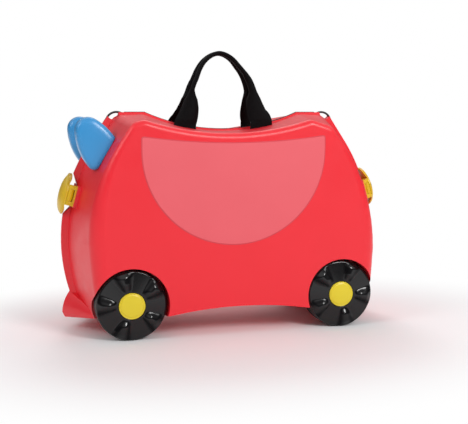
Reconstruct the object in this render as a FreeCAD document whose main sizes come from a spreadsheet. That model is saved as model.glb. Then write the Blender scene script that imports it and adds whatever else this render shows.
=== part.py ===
import FreeCAD, Part
import math
import os
import re
import Sketcher

# A ride-on suitcase: two moulded halves that hinge on the keel and clasp at both ends.
# +Z is up and the wheels stand on Z = 0. X runs along the length, front at -X, and Y = 0 is the seam.

V = FreeCAD.Vector
doc = FreeCAD.newDocument("ride_on_suitcase")

SIZES = [
    # Case, as its outline at the seam, with the rim left off
    ("seam_gap", 1.0),
    ("seam_reach", 223.0),
    ("seam_bow_height", 122.0),
    ("seam_bow_radius", 235.0),
    ("seam_shoulder", 255.0),
    ("seam_hump_start", 112.0),
    ("seam_hump_height", 297.5),
    ("seam_hump_fall_share", 0.0),
    ("seam_saddle_height", 274.0),
    # Case, as its outline on the flat side
    ("side_width", 101.9),
    ("side_reach", 197.5),
    ("side_foot_reach", 186.0),
    ("side_bow_height", 130.0),
    ("side_bow_radius", 242.0),
    ("side_shoulder", 262.0),
    ("side_hump_start", 129.0),
    ("side_hump_height", 290.0),
    ("side_hump_fall_share", 0.35),
    ("side_saddle_height", 272.5),
    # The rear of the flat side leans in further than the front
    ("tail_reach", 195.0),
    ("tail_bow_height", 105.0),
    ("tail_bow_radius", 262.0),
    ("tail_hump_start", 100.0),
    # Shell
    ("wall", 3.0),
    ("skirt", 30.0),
    ("overrun", 5.0),
    ("fit", 0.3),
    ("hump_round", 16.0),
    ("top_edge_round", 8.0),
    ("end_edge_round", 20.0),
    ("low_edge_round", 5.0),
    # Belly, a shallow keel between the wheels
    ("keel_height", 15.0),
    ("belly_side_height", 30.5),
    ("belly_arch_height", 38.5),
    ("belly_arch_half", 97.0),
    # Rim round the seam
    ("rim_height", 7.0),
    ("rim_crown", 2.5),
    ("rim_flat", 4.4),
    ("rim_width", 11.0),
    # Toe at the foot of each end
    ("toe_top", 52.0),
    ("toe_root", 196.0),
    ("toe_crease_back", 10.4),
    ("toe_belly_back", 2.9),
    ("toe_belly_height", 38.0),
    ("toe_reach", 230.4),
    ("toe_tip_height", 23.0),
    ("toe_sole_back", 3.9),
    ("toe_side_reach", 194.6),
    ("toe_side_top", 33.0),
    ("toe_side_depth", 62.0),
    # Seal in the rim
    ("seal_width", 2.6),
    ("seal_offset", 0.6),
    ("seal_depth", 2.4),
    ("seal_end_height", 60.0),
    # Bare panel on each side
    ("panel_radius", 126.4),
    ("panel_bow_height", 249.6),
    ("panel_corner_height", 269.5),
    ("panel_top_height", 260.5),
    ("panel_shift", 6.8),
    ("panel_thickness", 0.6),
    # Wheels, wells and axles
    ("wheel_radius", 47.0),
    ("wheel_base_half", 147.0),
    ("arch_radius", 50.0),
    ("well_floor", 60.0),
    ("wheel_face", 98.4),
    ("wheel_back", 62.0),
    ("tread_round", 4.0),
    ("tread_wall", 4.5),
    ("wheel_web", 10.0),
    ("wheel_hub_radius", 11.0),
    ("face_fall", 1.6),
    ("scoop_count", 5.0),
    ("scoop_start", 19.5),
    ("scoop_depth", 7.0),
    ("scoop_rise", 10.0),
    ("axle_radius", 4.0),
    ("axle_fit", 0.05),
    ("axle_head_radius", 7.5),
    ("axle_head", 3.0),
    ("axle_boss_radius", 9.0),
    ("axle_boss_length", 11.0),
    ("axle_tip", 2.4),
    ("washer_radius", 10.0),
    ("nut_radius", 8.0),
    ("nut_thickness", 1.2),
    ("cap_radius", 17.6),
    ("cap_seat", 4.0),
    ("cap_edge", 1.4),
    ("cap_dome", 1.8),
    ("cap_skirt", 1.6),
    ("nut_pocket", 9.5),
    # Keel hinge
    ("hinge_height", 13.0),
    ("knuckle_radius", 5.0),
    ("knuckle_length", 15.0),
    ("knuckle_gap", 0.4),
    ("hinge_spacing", 140.0),
    ("hinge_pin_radius", 2.0),
    ("hinge_leaf", 9.0),
    # Horns
    ("horn_middle", 58.0),
    ("horn_thickness", 30.0),
    ("horn_round", 7.5),
    ("horn_lobe_x", 195.5),
    ("horn_lobe_z", 276.5),
    ("horn_lobe_radius", 17.5),
    ("horn_tip_x", 169.5),
    ("horn_tip_z", 265.5),
    ("horn_tip_radius", 9.0),
    ("horn_foot_x", 189.0),
    ("horn_foot_z", 232.0),
    ("horn_foot_radius", 8.0),
    ("horn_side_radius", 80.0),
    ("horn_screw_y", 52.0),
    ("horn_screw_z", 254.0),
    ("horn_screw_reach", 196.0),
    ("horn_screw_radius", 2.0),
    ("horn_screw_head_radius", 4.5),
    ("horn_screw_head", 3.0),
    ("horn_screw_seat", 166.0),
    # Webbing handles
    ("handle_shift", 4.0),
    ("handle_seat", 25.0),
    ("handle_leg", 55.5),
    ("handle_fold_height", 290.0),
    ("strap_width", 32.0),
    ("strap_thickness", 2.2),
    ("strap_slot_gap", 0.5),
    ("grip_pinch", 43.0),
    ("grip_half", 45.0),
    ("grip_rise", 49.5),
    ("grip_width", 6.0),
    ("grip_depth", 8.0),
    ("handle_lean_degrees", 12.4),
    ("bar_length", 40.0),
    ("bar_depth", 12.0),
    ("bar_thickness", 4.0),
    ("tail_end", 6.0),
    ("strap_end_drop", 0.6),
    ("fold_room", 1.55),
    # Clasps, in a frame on the end face: sideways, up the slope and outwards
    ("clasp_height", 187.0),
    ("clasp_sink", 2.5),
    ("clasp_notch_half", 27.0),
    ("clasp_notch_foot", 15.5),
    ("clasp_notch_slope", 1.7),
    ("clasp_pad_half", 15.0),
    ("clasp_pad_reach", 31.0),
    ("clasp_pad_depth", 9.0),
    ("clasp_base_start", 8.0),
    ("clasp_base_end", 29.0),
    ("clasp_base_half", 14.0),
    ("clasp_base_thickness", 2.4),
    ("clasp_axis", 23.0),
    ("clasp_axis_height", 6.8),
    ("clasp_ear_radius", 4.0),
    ("clasp_ear_length", 5.8),
    ("clasp_pin_radius", 1.5),
    ("clasp_disc_radius", 28.0),
    ("clasp_disc_shift", 3.0),
    ("clasp_disc_edge", 2.0),
    ("clasp_disc_dome", 5.5),
    ("clasp_hook_start", 23.6),
    ("clasp_hook_thickness", 2.4),
    ("clasp_hook_half", 9.0),
    ("clasp_hook_lip", 2.4),
    ("clasp_hook_floor", 1.2),
    ("keeper_start", 8.0),
    ("keeper_end", 20.0),
    ("keeper_half", 11.0),
    ("keeper_height", 7.0),
    ("keeper_nose", 3.0),
    ("keeper_nose_thickness", 2.6),
    ("clasp_screw_radius", 1.4),
    ("clasp_screw_length", 9.0),
    ("clasp_screw_head_radius", 2.6),
    ("clasp_screw_head", 1.4),
    ("clasp_screw_spread", 5.0),
    ("clasp_screw_place", 14.0),
    # Tow loops
    ("tow_x", 155.9),
    ("tow_z", 298.0),
    ("tow_notch_radius", 8.0),
    ("tow_centre_x", 150.9),
    ("tow_centre_z", 285.3),
    ("tow_radius", 15.0),
    ("tow_wire_radius", 1.5),
    ("tow_y", 2.9),
    ("tow_lean_degrees", 23.6),
    ("tow_sweep_degrees", 120.0),
    ("tow_socket_degrees", 2.0),
    ("tow_boss_half", 16.0),
    ("tow_boss_drop", 20.0),
    ("tow_boss_width", 10.5),
]

sheet = doc.addObject("Spreadsheet::Sheet", "sizes")
for row, (word, number) in enumerate(SIZES, start=1):
    sheet.set("A%d" % row, word)
    sheet.set("B%d" % row, str(number))
    sheet.setAlias("B%d" % row, word)
doc.recompute()

WORDS = {word for word, number in SIZES}


def cells(rule):
    """A rule in plain words, with each size pointed at its cell of the sheet."""
    return re.sub(r"[a-z_]+", lambda found: "sizes." + found.group() if found.group() in WORDS
                  else found.group(), rule)


def mm(rule):
    """The value of a rule, read from the sheet."""
    return float(sheet.evalExpression(cells(rule)))


def bind(thing, **rules):
    """Bind properties to the sheet. A double underscore in a name stands for a dot."""
    for name, rule in rules.items():
        thing.setExpression(name.replace("__", "."), cells(rule))
    return thing


def place(thing, x="0", y="0", z="0", turn=None):
    """Set where a thing sits, each coordinate bound to its rule."""
    thing.Placement = FreeCAD.Placement(V(), turn or FreeCAD.Rotation())
    return bind(thing, Placement__Base__x=x, Placement__Base__y=y, Placement__Base__z=z)


# A turn that takes the local +Z to the near side, and one that takes it to the far side
TO_NEAR = FreeCAD.Rotation(V(1, 0, 0), 90)
TO_FAR = FreeCAD.Rotation(V(1, 0, 0), -90)
ALONG_X = FreeCAD.Rotation(V(0, 1, 0), 90)
ALONG_BACK_X = FreeCAD.Rotation(V(0, 1, 0), -90)


def rod(name, radius, length, x="0", y="0", z="0", turn=None):
    """A round bar whose start and length are rules."""
    bar = doc.addObject("Part::Cylinder", name)
    bind(bar, Radius=radius, Height=length)
    return place(bar, x, y, z, turn)


def block(name, x, y, z):
    """A box between two rules on each axis."""
    box = doc.addObject("Part::Box", name)
    spans = dict(zip(("Length", "Width", "Height"), (x, y, z)))
    for side, (start, end) in spans.items():
        bind(box, **{side: "(%s) - (%s)" % (end, start)})
    return place(box, x[0], y[0], z[0])


def fuse(name, *shapes):
    joined = doc.addObject("Part::MultiFuse", name)
    joined.Shapes = list(shapes)
    return joined


def common(name, base, tool):
    kept = doc.addObject("Part::Common", name)
    kept.Base = base
    kept.Tool = tool
    return kept


def group(name, shapes):
    """Several like pieces that share one node, or several tools that lie apart."""
    together = doc.addObject("Part::Compound", name)
    together.Links = list(shapes)
    return together


def cut(name, base, *tools):
    """The base less every tool, where the tools lie apart from each other."""
    left = doc.addObject("Part::Cut", name)
    left.Base = base
    left.Tool = tools[0] if len(tools) == 1 else group(name + "_tools", tools)
    return left


def cut_in_turn(name, base, *tools):
    """The base less every tool, one after the other, where the tools overlap."""
    left = base
    for number, tool in enumerate(tools, start=1):
        left = cut(name if number == len(tools) else "%s_%d" % (name, number), left, tool)
    return left


def mirror(name, source, normal=V(0, 1, 0)):
    """The same form on the other side of the seam, or of the middle of the length."""
    other = doc.addObject("Part::Mirroring", name)
    other.Source = source
    other.Normal = normal
    return other


def held(name, shape):
    """A form worked out from the sheet by code, kept as one object."""
    form = doc.addObject("Part::Feature", name)
    form.Shape = shape
    return form


def origin_plane(body, role):
    return next(plane for plane in body.Origin.OriginFeatures if plane.Role == role)


def outline_sketch(body, name, corners, role="XZ_Plane"):
    """A closed outline of straight edges with every corner bound to two rules."""
    sketch = body.newObject("Sketcher::SketchObject", name)
    sketch.AttachmentSupport = (origin_plane(body, role), [""])
    sketch.MapMode = "FlatFace"
    spots = [V(mm(across), mm(up), 0) for across, up in corners]
    count = len(spots)
    for index, spot in enumerate(spots):
        sketch.addGeometry(Part.LineSegment(spot, spots[(index + 1) % count]))
    for index in range(count):
        sketch.addConstraint(Sketcher.Constraint("Coincident", index, 2, (index + 1) % count, 1))
    for index, corner in enumerate(corners):
        for kind, axis, rule in (("DistanceX", -2, corner[0]), ("DistanceY", -1, corner[1])):
            if rule == "0":
                sketch.addConstraint(Sketcher.Constraint("PointOnObject", index, 1, axis))
                continue
            pin = Sketcher.Constraint(kind, -1, 1, index, 1, mm(rule))
            number = sketch.addConstraint(pin)
            sketch.setExpression("Constraints[%d]" % number, cells(rule))
    return sketch


def turned(name, corners):
    """A body of revolution about its own Z, from corners given as radius and height."""
    body = doc.addObject("PartDesign::Body", name)
    sketch = outline_sketch(body, name + "_profile", corners)
    spin = body.newObject("PartDesign::Revolution", name + "_spin")
    spin.Profile = sketch
    spin.ReferenceAxis = (sketch, ["V_Axis"])
    spin.Angle = 360
    doc.recompute()
    return body


def case_points(section, sign, end_inset, top_inset):
    """Corners of one half of an outline of the case, bow to saddle, and its bow's centre and radius."""
    bowed = "tail" if section == "side" and sign > 0 else section
    reach = mm(bowed + "_reach") - end_inset
    radius = mm(bowed + "_bow_radius") - end_inset
    bow = mm(bowed + "_bow_height")
    centre = reach - radius
    shoulder = mm(section + "_shoulder") - top_inset
    hump_x = mm(bowed + "_hump_start")
    hump_z = mm(section + "_hump_height") - top_inset
    fall = mm(section + "_hump_fall_share")
    shoulder_x = centre + math.sqrt(radius ** 2 - (shoulder - bow) ** 2)
    # The shoulder runs on as a tangent of the bow until it meets the hump
    lean_x = -(shoulder - bow) / radius
    lean_z = (shoulder_x - centre) / radius
    run = (hump_z - fall * (shoulder_x - hump_x) - shoulder) / (lean_z + fall * lean_x)
    brow = (shoulder_x + run * lean_x, shoulder + run * lean_z)
    return [(reach, bow), (shoulder_x, shoulder), brow, (hump_x, hump_z)], centre, radius


def case_outline(name, section, depth, end_inset=0.0, top_inset=0.0):
    """The outline of the case at the seam or on the side, on the plane at that depth."""
    foot = -mm("skirt")
    saddle = mm(section + "_saddle_height") - top_inset
    halves = {}
    feet = {}
    humps = {}
    for sign in (1, -1):
        points, centre, radius = case_points(section, sign, end_inset, top_inset)
        bow = points[0][1]

        def on_bow(height):
            return centre + math.sqrt(radius ** 2 - (height - bow) ** 2), height

        def spot(point):
            return V(sign * point[0], -depth, point[1])

        if section == "seam":
            feet[sign] = spot(on_bow(foot))
            low = Part.Arc(feet[sign], spot(on_bow((foot + bow) / 2)), spot(points[0]))
        else:
            feet[sign] = spot((mm("side_foot_reach") - end_inset, foot))
            low = Part.LineSegment(feet[sign], spot(points[0]))
        high_middle = on_bow((bow + points[1][1]) / 2)
        humps[sign] = spot(points[3])
        halves[sign] = [
            low,
            Part.Arc(spot(points[0]), spot(high_middle), spot(points[1])),
            Part.LineSegment(spot(points[1]), spot(points[2])),
            Part.LineSegment(spot(points[2]), spot(points[3])),
        ]
    sole = Part.LineSegment(feet[-1], feet[1])
    seat = Part.Arc(humps[1], V((humps[1].x + humps[-1].x) / 2, -depth, saddle), humps[-1])
    edges = [sole] + halves[1] + [seat] + halves[-1][::-1]
    return held(name, Part.Wire(Part.__sortEdges__([edge.toShape() for edge in edges])))


def loft(name, *sections):
    solid = doc.addObject("Part::Loft", name)
    solid.Sections = list(sections)
    solid.Solid = True
    solid.Ruled = True
    return solid


def rounded(name, base, choose):
    """Round the edges of a solid: choose gives the two end radii of an edge, or None."""
    doc.recompute()
    picked = []
    for number, edge in enumerate(base.Shape.Edges, start=1):
        radii = choose(edge)
        if radii:
            picked.append((number, radii[0], radii[1]))
    soft = doc.addObject("Part::Fillet", name)
    soft.Base = base
    soft.Edges = picked
    doc.recompute()
    return soft


def case_form(name, inset, outset_depth):
    """The rounded form of one half: the outside, or with an inset the hollow inside."""
    seam = case_outline(name + "_seam", "seam", outset_depth, inset, inset)
    depth = mm("side_width") - inset
    side = case_outline(name + "_side", "side", depth, inset, inset)
    raw = loft(name + "_loft", seam, side)
    corner = mm("hump_round") - inset

    def on_hump(edge):
        long = edge.BoundBox.YLength > mm("side_width") / 2
        high = min(point.Z for point in edge.Vertexes) > mm("side_shoulder") + mm("top_edge_round")
        return (corner, corner) if long and high else None

    humped = rounded(name + "_humps", raw, on_hump)
    top = mm("top_edge_round") - inset
    end = mm("end_edge_round") - inset
    low = mm("low_edge_round") - inset

    def on_side(edge):
        box = edge.BoundBox
        if box.YMax > -depth + mm("fit") or box.ZMax < 0:
            return None
        radii = []
        for parameter in (edge.FirstParameter, edge.LastParameter):
            height = edge.valueAt(parameter).z
            if height < 0:
                radii.append(low)
            elif height < mm("side_bow_height") + mm("fit"):
                radii.append(end)
            else:
                radii.append(top)
        return tuple(radii)

    return rounded(name + "_form", humped, on_side)


def belly(name, raise_by):
    """What lies under the belly, to be cut away: a keel at the seam, arched at the sides."""
    half = mm("toe_reach") + mm("overrun")
    floor = -mm("skirt") - mm("overrun")
    arch = mm("belly_arch_half")
    deep = mm("side_width") + mm("overrun")

    def outline(label, y, edge_height, arch_height):
        corners = [V(-half, y, edge_height), V(-arch, y, edge_height), V(arch, y, edge_height),
                   V(half, y, edge_height), V(half, y, floor), V(-half, y, floor)]
        sides = [Part.LineSegment(corners[i], corners[(i + 1) % len(corners)]).toShape()
                 for i in range(len(corners))]
        if arch_height > edge_height:
            sides[1] = Part.Arc(corners[1], V(0, y, arch_height), corners[2]).toShape()
        return held(label, Part.Wire(sides))

    keel = mm("keel_height") + raise_by
    slope = (mm("belly_side_height") - mm("keel_height")) / mm("side_width")
    arch_slope = (mm("belly_arch_height") - mm("keel_height")) / mm("side_width")
    over = mm("overrun")
    near = outline(name + "_keel", over, keel, keel)
    far = outline(name + "_side", -deep, keel + slope * (deep + over), keel + arch_slope * (deep + over))
    return loft(name, near, far)


def toe(name):
    """The toe that flares from the foot of the end at the seam and dies out at the side."""
    foot = -mm("skirt")

    def outline(label, y, crease, belly_point, tip, sole, root):
        edges = [
            Part.Arc(crease, belly_point, tip),
            Part.LineSegment(tip, sole),
            Part.LineSegment(sole, V(sole.x, y, foot)),
            Part.LineSegment(V(sole.x, y, foot), V(root, y, foot)),
            Part.LineSegment(V(root, y, foot), V(root, y, crease.z)),
            Part.LineSegment(V(root, y, crease.z), crease),
        ]
        return held(label, Part.Wire([edge.toShape() for edge in edges]))

    y = -mm("seam_gap / 2")
    seam = outline(name + "_seam", y,
                   V(mm("toe_reach - toe_crease_back"), y, mm("toe_top")),
                   V(mm("toe_reach - toe_belly_back"), y, mm("toe_belly_height")),
                   V(mm("toe_reach"), y, mm("toe_tip_height")),
                   V(mm("toe_reach - toe_sole_back"), y, mm("keel_height")),
                   mm("toe_root"))
    y = -mm("toe_side_depth")
    # The same outline, shrunk to what is left of the toe at the side
    side_sole = mm("keel_height + (belly_side_height - keel_height) * toe_side_depth / side_width")
    share = (mm("toe_side_top") - side_sole) / mm("toe_top - keel_height")

    def shrunk(back, height):
        return V(mm("toe_side_reach") - share * mm(back), y,
                 side_sole + share * mm("%s - keel_height" % height))

    side = outline(name + "_side", y,
                   shrunk("toe_crease_back", "toe_top"),
                   shrunk("toe_belly_back", "toe_belly_height"),
                   shrunk("0", "toe_tip_height"),
                   shrunk("toe_sole_back", "keel_height"),
                   mm("side_reach - end_edge_round"))
    return loft(name, seam, side)


def rim():
    """The rim that stands round the seam, highest at the ends, falling to the body either side."""
    height = mm("rim_height")
    crown = mm("rim_crown")
    gap = mm("seam_gap / 2")
    edge = case_outline("rim_edge", "seam", gap, -height, -crown)
    land = case_outline("rim_land", "seam", mm("rim_flat"), -height, -crown)
    share = mm("rim_width / side_width")
    sink = mm("seam_reach - side_reach") * share + mm("overrun")
    foot = case_outline("rim_foot", "seam", mm("rim_width"), sink, sink)
    return loft("rim_form", edge, land, foot)


def tow_wire(name, side, extra, more_degrees):
    """A bent wire across the notch in the ridge corner, or a little larger the sockets of its ends."""
    ring = doc.addObject("Part::Torus", name)
    bind(ring, Radius1="tow_radius", Radius2="tow_wire_radius + %s" % extra)
    sweep = mm("tow_sweep_degrees") + more_degrees
    ring.Angle3 = sweep
    start = 90 - side * mm("tow_lean_degrees") - sweep / 2
    turn = TO_NEAR.multiply(FreeCAD.Rotation(V(0, 0, 1), start))
    place(ring, "%d * tow_centre_x" % side, "-tow_y", "tow_centre_z", turn)
    return ring


def clasp_frame(side):
    """Where a clasp sits: local X towards the near side, Y up the slope, Z outwards."""
    rise = mm("clasp_height - seam_bow_height")
    radius = mm("seam_bow_radius")
    lean = math.asin(rise / radius)
    reach = mm("seam_reach") - radius + radius * math.cos(lean)
    outwards = V(side * math.cos(lean), 0, math.sin(lean))
    up = V(-side * math.sin(lean), 0, math.cos(lean))
    across = up.cross(outwards)
    turn = FreeCAD.Rotation(across, up, outwards, "XYZ")
    return FreeCAD.Placement(V(side * reach, 0, mm("clasp_height")), turn), across.y


def on_clasp(thing, side):
    """Put a piece made in the clasp's frame on its end of the case, hinge towards the near half."""
    frame, across = clasp_frame(side)
    flip = FreeCAD.Rotation() if across < 0 else FreeCAD.Rotation(V(0, 0, 1), 180)
    thing.Placement = frame.multiply(FreeCAD.Placement(V(), flip))
    return thing


# Forms shared by both halves
ENDS = (("front", -1), ("rear", 1))
gap_half = mm("seam_gap / 2")
outside = case_form("outside", 0.0, gap_half)
hollow = case_form("hollow", mm("wall"), -mm("overrun"))
rear_toe = toe("rear_toe")
front_toe = mirror("front_toe", rear_toe, V(1, 0, 0))
under = belly("under_belly", 0.0)
under_hollow = belly("under_hollow", mm("wall"))

eye_windows = []
wells = []
pockets = []
seats = []
for end_name, end_sign in ENDS:
    # Round notch under the tow loop, in the corner of the ridge
    middle = "%d * tow_x" % end_sign
    eye_windows.append(rod(end_name + "_eye_window", "tow_notch_radius", "rim_width + overrun",
                           middle, "0", "tow_z", TO_NEAR))
    # Wheel well and axle boss
    x = "%d * wheel_base_half" % end_sign
    wells.append(rod(end_name + "_housing", "arch_radius + wall", "side_width - well_floor + wall + overrun",
                     x, "-(well_floor - wall)", "wheel_radius", TO_NEAR))
    wells.append(rod(end_name + "_boss", "axle_boss_radius", "axle_boss_length + wall + overrun",
                     x, "-(well_floor - wall - axle_boss_length)", "wheel_radius", TO_NEAR))
    pocket = rod(end_name + "_pocket", "arch_radius", "side_width - well_floor + overrun",
                 x, "-well_floor", "wheel_radius", TO_NEAR)
    axle_hole = rod(end_name + "_axle_hole", "axle_radius", "side_width", x, "0", "wheel_radius", TO_NEAR)
    pockets.append(fuse(end_name + "_wheel_room", pocket, axle_hole))
    # Solid corner that holds the tow loop
    wells.append(block(end_name + "_tow_corner", (middle + " - tow_boss_half", middle + " + tow_boss_half"),
                       ("-tow_boss_width", "overrun"),
                       ("tow_z - tow_boss_drop", "tow_z + tow_boss_half")))
    # Clasp seat, a flat pad behind the wall with the rim notched away above it
    deep = ("-clasp_sink - clasp_pad_depth", "-clasp_sink")
    land = block(end_name + "_clasp_land", ("seam_gap / 2", "rim_width"),
                 ("-clasp_notch_foot", "clasp_notch_foot"), deep)
    pad = block(end_name + "_clasp_pad", ("seam_gap / 2", "clasp_pad_reach"),
                ("-clasp_pad_half", "clasp_pad_half"), deep)
    seats.append(on_clasp(fuse(end_name + "_clasp_seat", land, pad), end_sign))
    notch = doc.addObject("Part::Wedge", end_name + "_clasp_notch")
    flared = "(clasp_notch_foot + clasp_notch_slope * (skirt + clasp_sink))"
    bind(notch, Xmin="-clasp_pad_reach", X2min="-clasp_pad_reach",
         Xmax="clasp_pad_reach", X2max="clasp_pad_reach", Ymin="-clasp_sink", Ymax="skirt", Zmin="-clasp_notch_foot", Zmax="clasp_notch_foot",
         Z2min="-" + flared, Z2max=flared)
    notch.Placement = FreeCAD.Placement(V(), TO_NEAR)
    pockets.append(on_clasp(group(end_name + "_clasp_clear", [notch]), end_sign))

# Slots for the webbing, and the holes for the horn's screws
for leg_sign in (-1, 1):
    middle = "%d * handle_leg - handle_shift" % leg_sign
    half = "(strap_width / 2 + strap_slot_gap)"
    deep = "(strap_thickness / 2 + strap_slot_gap)"
    pockets.append(block("strap_slot_%d" % (leg_sign + 1),
                         ("%s - %s" % (middle, half), "%s + %s" % (middle, half)),
                         ("-handle_seat - " + deep, "-handle_seat + " + deep),
                         ("handle_fold_height - skirt", "handle_fold_height")))
horn_hole = rod("horn_screw_hole", "horn_screw_radius + fit", "seam_reach - horn_screw_seat",
                "-horn_screw_seat", "-horn_screw_y", "horn_screw_z", ALONG_BACK_X)
horn_flat = rod("horn_screw_flat", "horn_screw_head_radius + fit", "horn_screw_head + overrun",
                "-horn_screw_seat", "-horn_screw_y", "horn_screw_z", ALONG_X)
pockets.append(fuse("horn_screw_room", horn_hole, horn_flat))

clad = fuse("clad", outside, rim(), rear_toe, front_toe, *seats)
trimmed = cut("trimmed", clad, under, *eye_windows)
room = cut_in_turn("room", hollow, under_hollow, *wells, *seats)
half_form = cut("half_form", cut("hollow_half", trimmed, room), *pockets)
other_half = mirror("other_half", half_form)

nodes = {}


def node(name, thing):
    """Give a finished piece its name."""
    thing.Label = name
    nodes[name] = thing
    return thing


def both(near_name, far_name, thing):
    """A piece of the near half and its mirror image on the far half."""
    node(near_name, thing)
    return node(far_name, mirror(far_name, thing))


# Keel hinge: two stations, each a far knuckle between two near ones
near_knuckles = []
far_knuckles = []
near_clear = []
far_clear = []
hinge_pins = []
for station, station_sign in ENDS:
    near_rooms = []
    far_rooms = []
    for turn_number in (-1, 0, 1):
        name = "%s_knuckle_%d" % (station, turn_number + 1)
        start = "%d * hinge_spacing + %d * (knuckle_length + knuckle_gap) - knuckle_length / 2" % (
            station_sign, turn_number)
        barrel = rod(name + "_barrel", "knuckle_radius", "knuckle_length", start, "0", "hinge_height", ALONG_X)
        room_for = rod(name + "_room", "knuckle_radius + fit", "knuckle_length + 2 * knuckle_gap",
                       start + " - knuckle_gap", "0", "hinge_height", ALONG_X)
        across = ("-hinge_leaf", "0") if turn_number else ("0", "hinge_leaf")
        leaf = block(name + "_leaf", (start, start + " + knuckle_length"), across,
                     ("hinge_height", "keel_height + wall"))
        if turn_number:
            near_knuckles += [barrel, leaf]
            far_rooms.append(room_for)
        else:
            far_knuckles += [barrel, leaf]
            near_rooms.append(room_for)
    pin_start = "%d * hinge_spacing - 1.5 * knuckle_length - knuckle_gap" % station_sign
    bore = rod(station + "_hinge_bore", "hinge_pin_radius + axle_fit", "3 * knuckle_length + 4 * knuckle_gap",
               pin_start + " - knuckle_gap", "0", "hinge_height", ALONG_X)
    near_clear.append(fuse(station + "_near_hinge_room", bore, *near_rooms))
    far_clear.append(fuse(station + "_far_hinge_room", bore, *far_rooms))
    hinge_pins.append(rod(station + "_hinge_pin", "hinge_pin_radius", "3 * knuckle_length + 2 * knuckle_gap",
                          pin_start, "0", "hinge_height", ALONG_X))
node("hinge_pins", group("hinge_pins", hinge_pins))

# Seal strip in a groove of the near rim, down both ends as far as the toes
gap = mm("seam_gap / 2")
outer_offset = mm("seal_offset + seal_width")
inner_offset = mm("seal_offset")


def seal_ring(name, spare, back, front):
    """A band that follows the outline between two depths, wider by the spare on each side."""
    rings = []
    for label, offset in (("outer", outer_offset + spare), ("inner", inner_offset - spare)):
        starts = case_outline(name + label + "_back", "seam", back, -offset, -offset)
        ends = case_outline(name + label + "_front", "seam", front, -offset, -offset)
        rings.append(loft(name + label, starts, ends))
    half_length = "(toe_reach + overrun)"
    low = block(name + "_low", ("-" + half_length, half_length), ("-side_width", "side_width"),
                ("-2 * skirt", "seal_end_height"))
    return cut_in_turn(name, rings[0], rings[1], low)


groove = seal_ring("seal_groove", mm("axle_fit"), mm("seal_depth") + gap + mm("axle_fit"), -gap)
strip = seal_ring("seal_strip", 0.0, mm("seal_depth") + gap, mm("fit") - gap)
seal_clear = [on_clasp(group(end_name + "_seal_clear", [
    block(end_name + "_seal_notch", ("-clasp_pad_reach", "clasp_pad_reach"),
          ("-clasp_notch_half - fit", "clasp_notch_half + fit"), ("-skirt", "skirt"))]), end_sign)
    for end_name, end_sign in ENDS]
eyes = [block(end_name + "_seal_eye",
              ("%d * tow_x - tow_boss_half" % end_sign, "%d * tow_x + tow_boss_half" % end_sign),
              ("-side_width", "side_width"), ("tow_z - tow_boss_drop", "tow_z + skirt"))
        for end_name, end_sign in ENDS]
node("seam_seal", cut("seam_seal", strip, *seal_clear, *eyes))
groove_cut = cut("groove_cut", groove, *seal_clear, *eyes)

# Tow loops in the near half, with sockets to match
tow_sockets = []
for end_name, end_sign in ENDS:
    node(end_name + "_tow_loop", tow_wire(end_name + "_tow_loop", end_sign, "0", 0))
    tow_sockets.append(tow_wire(end_name + "_tow_socket", end_sign, "axle_fit", mm("tow_socket_degrees")))

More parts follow.
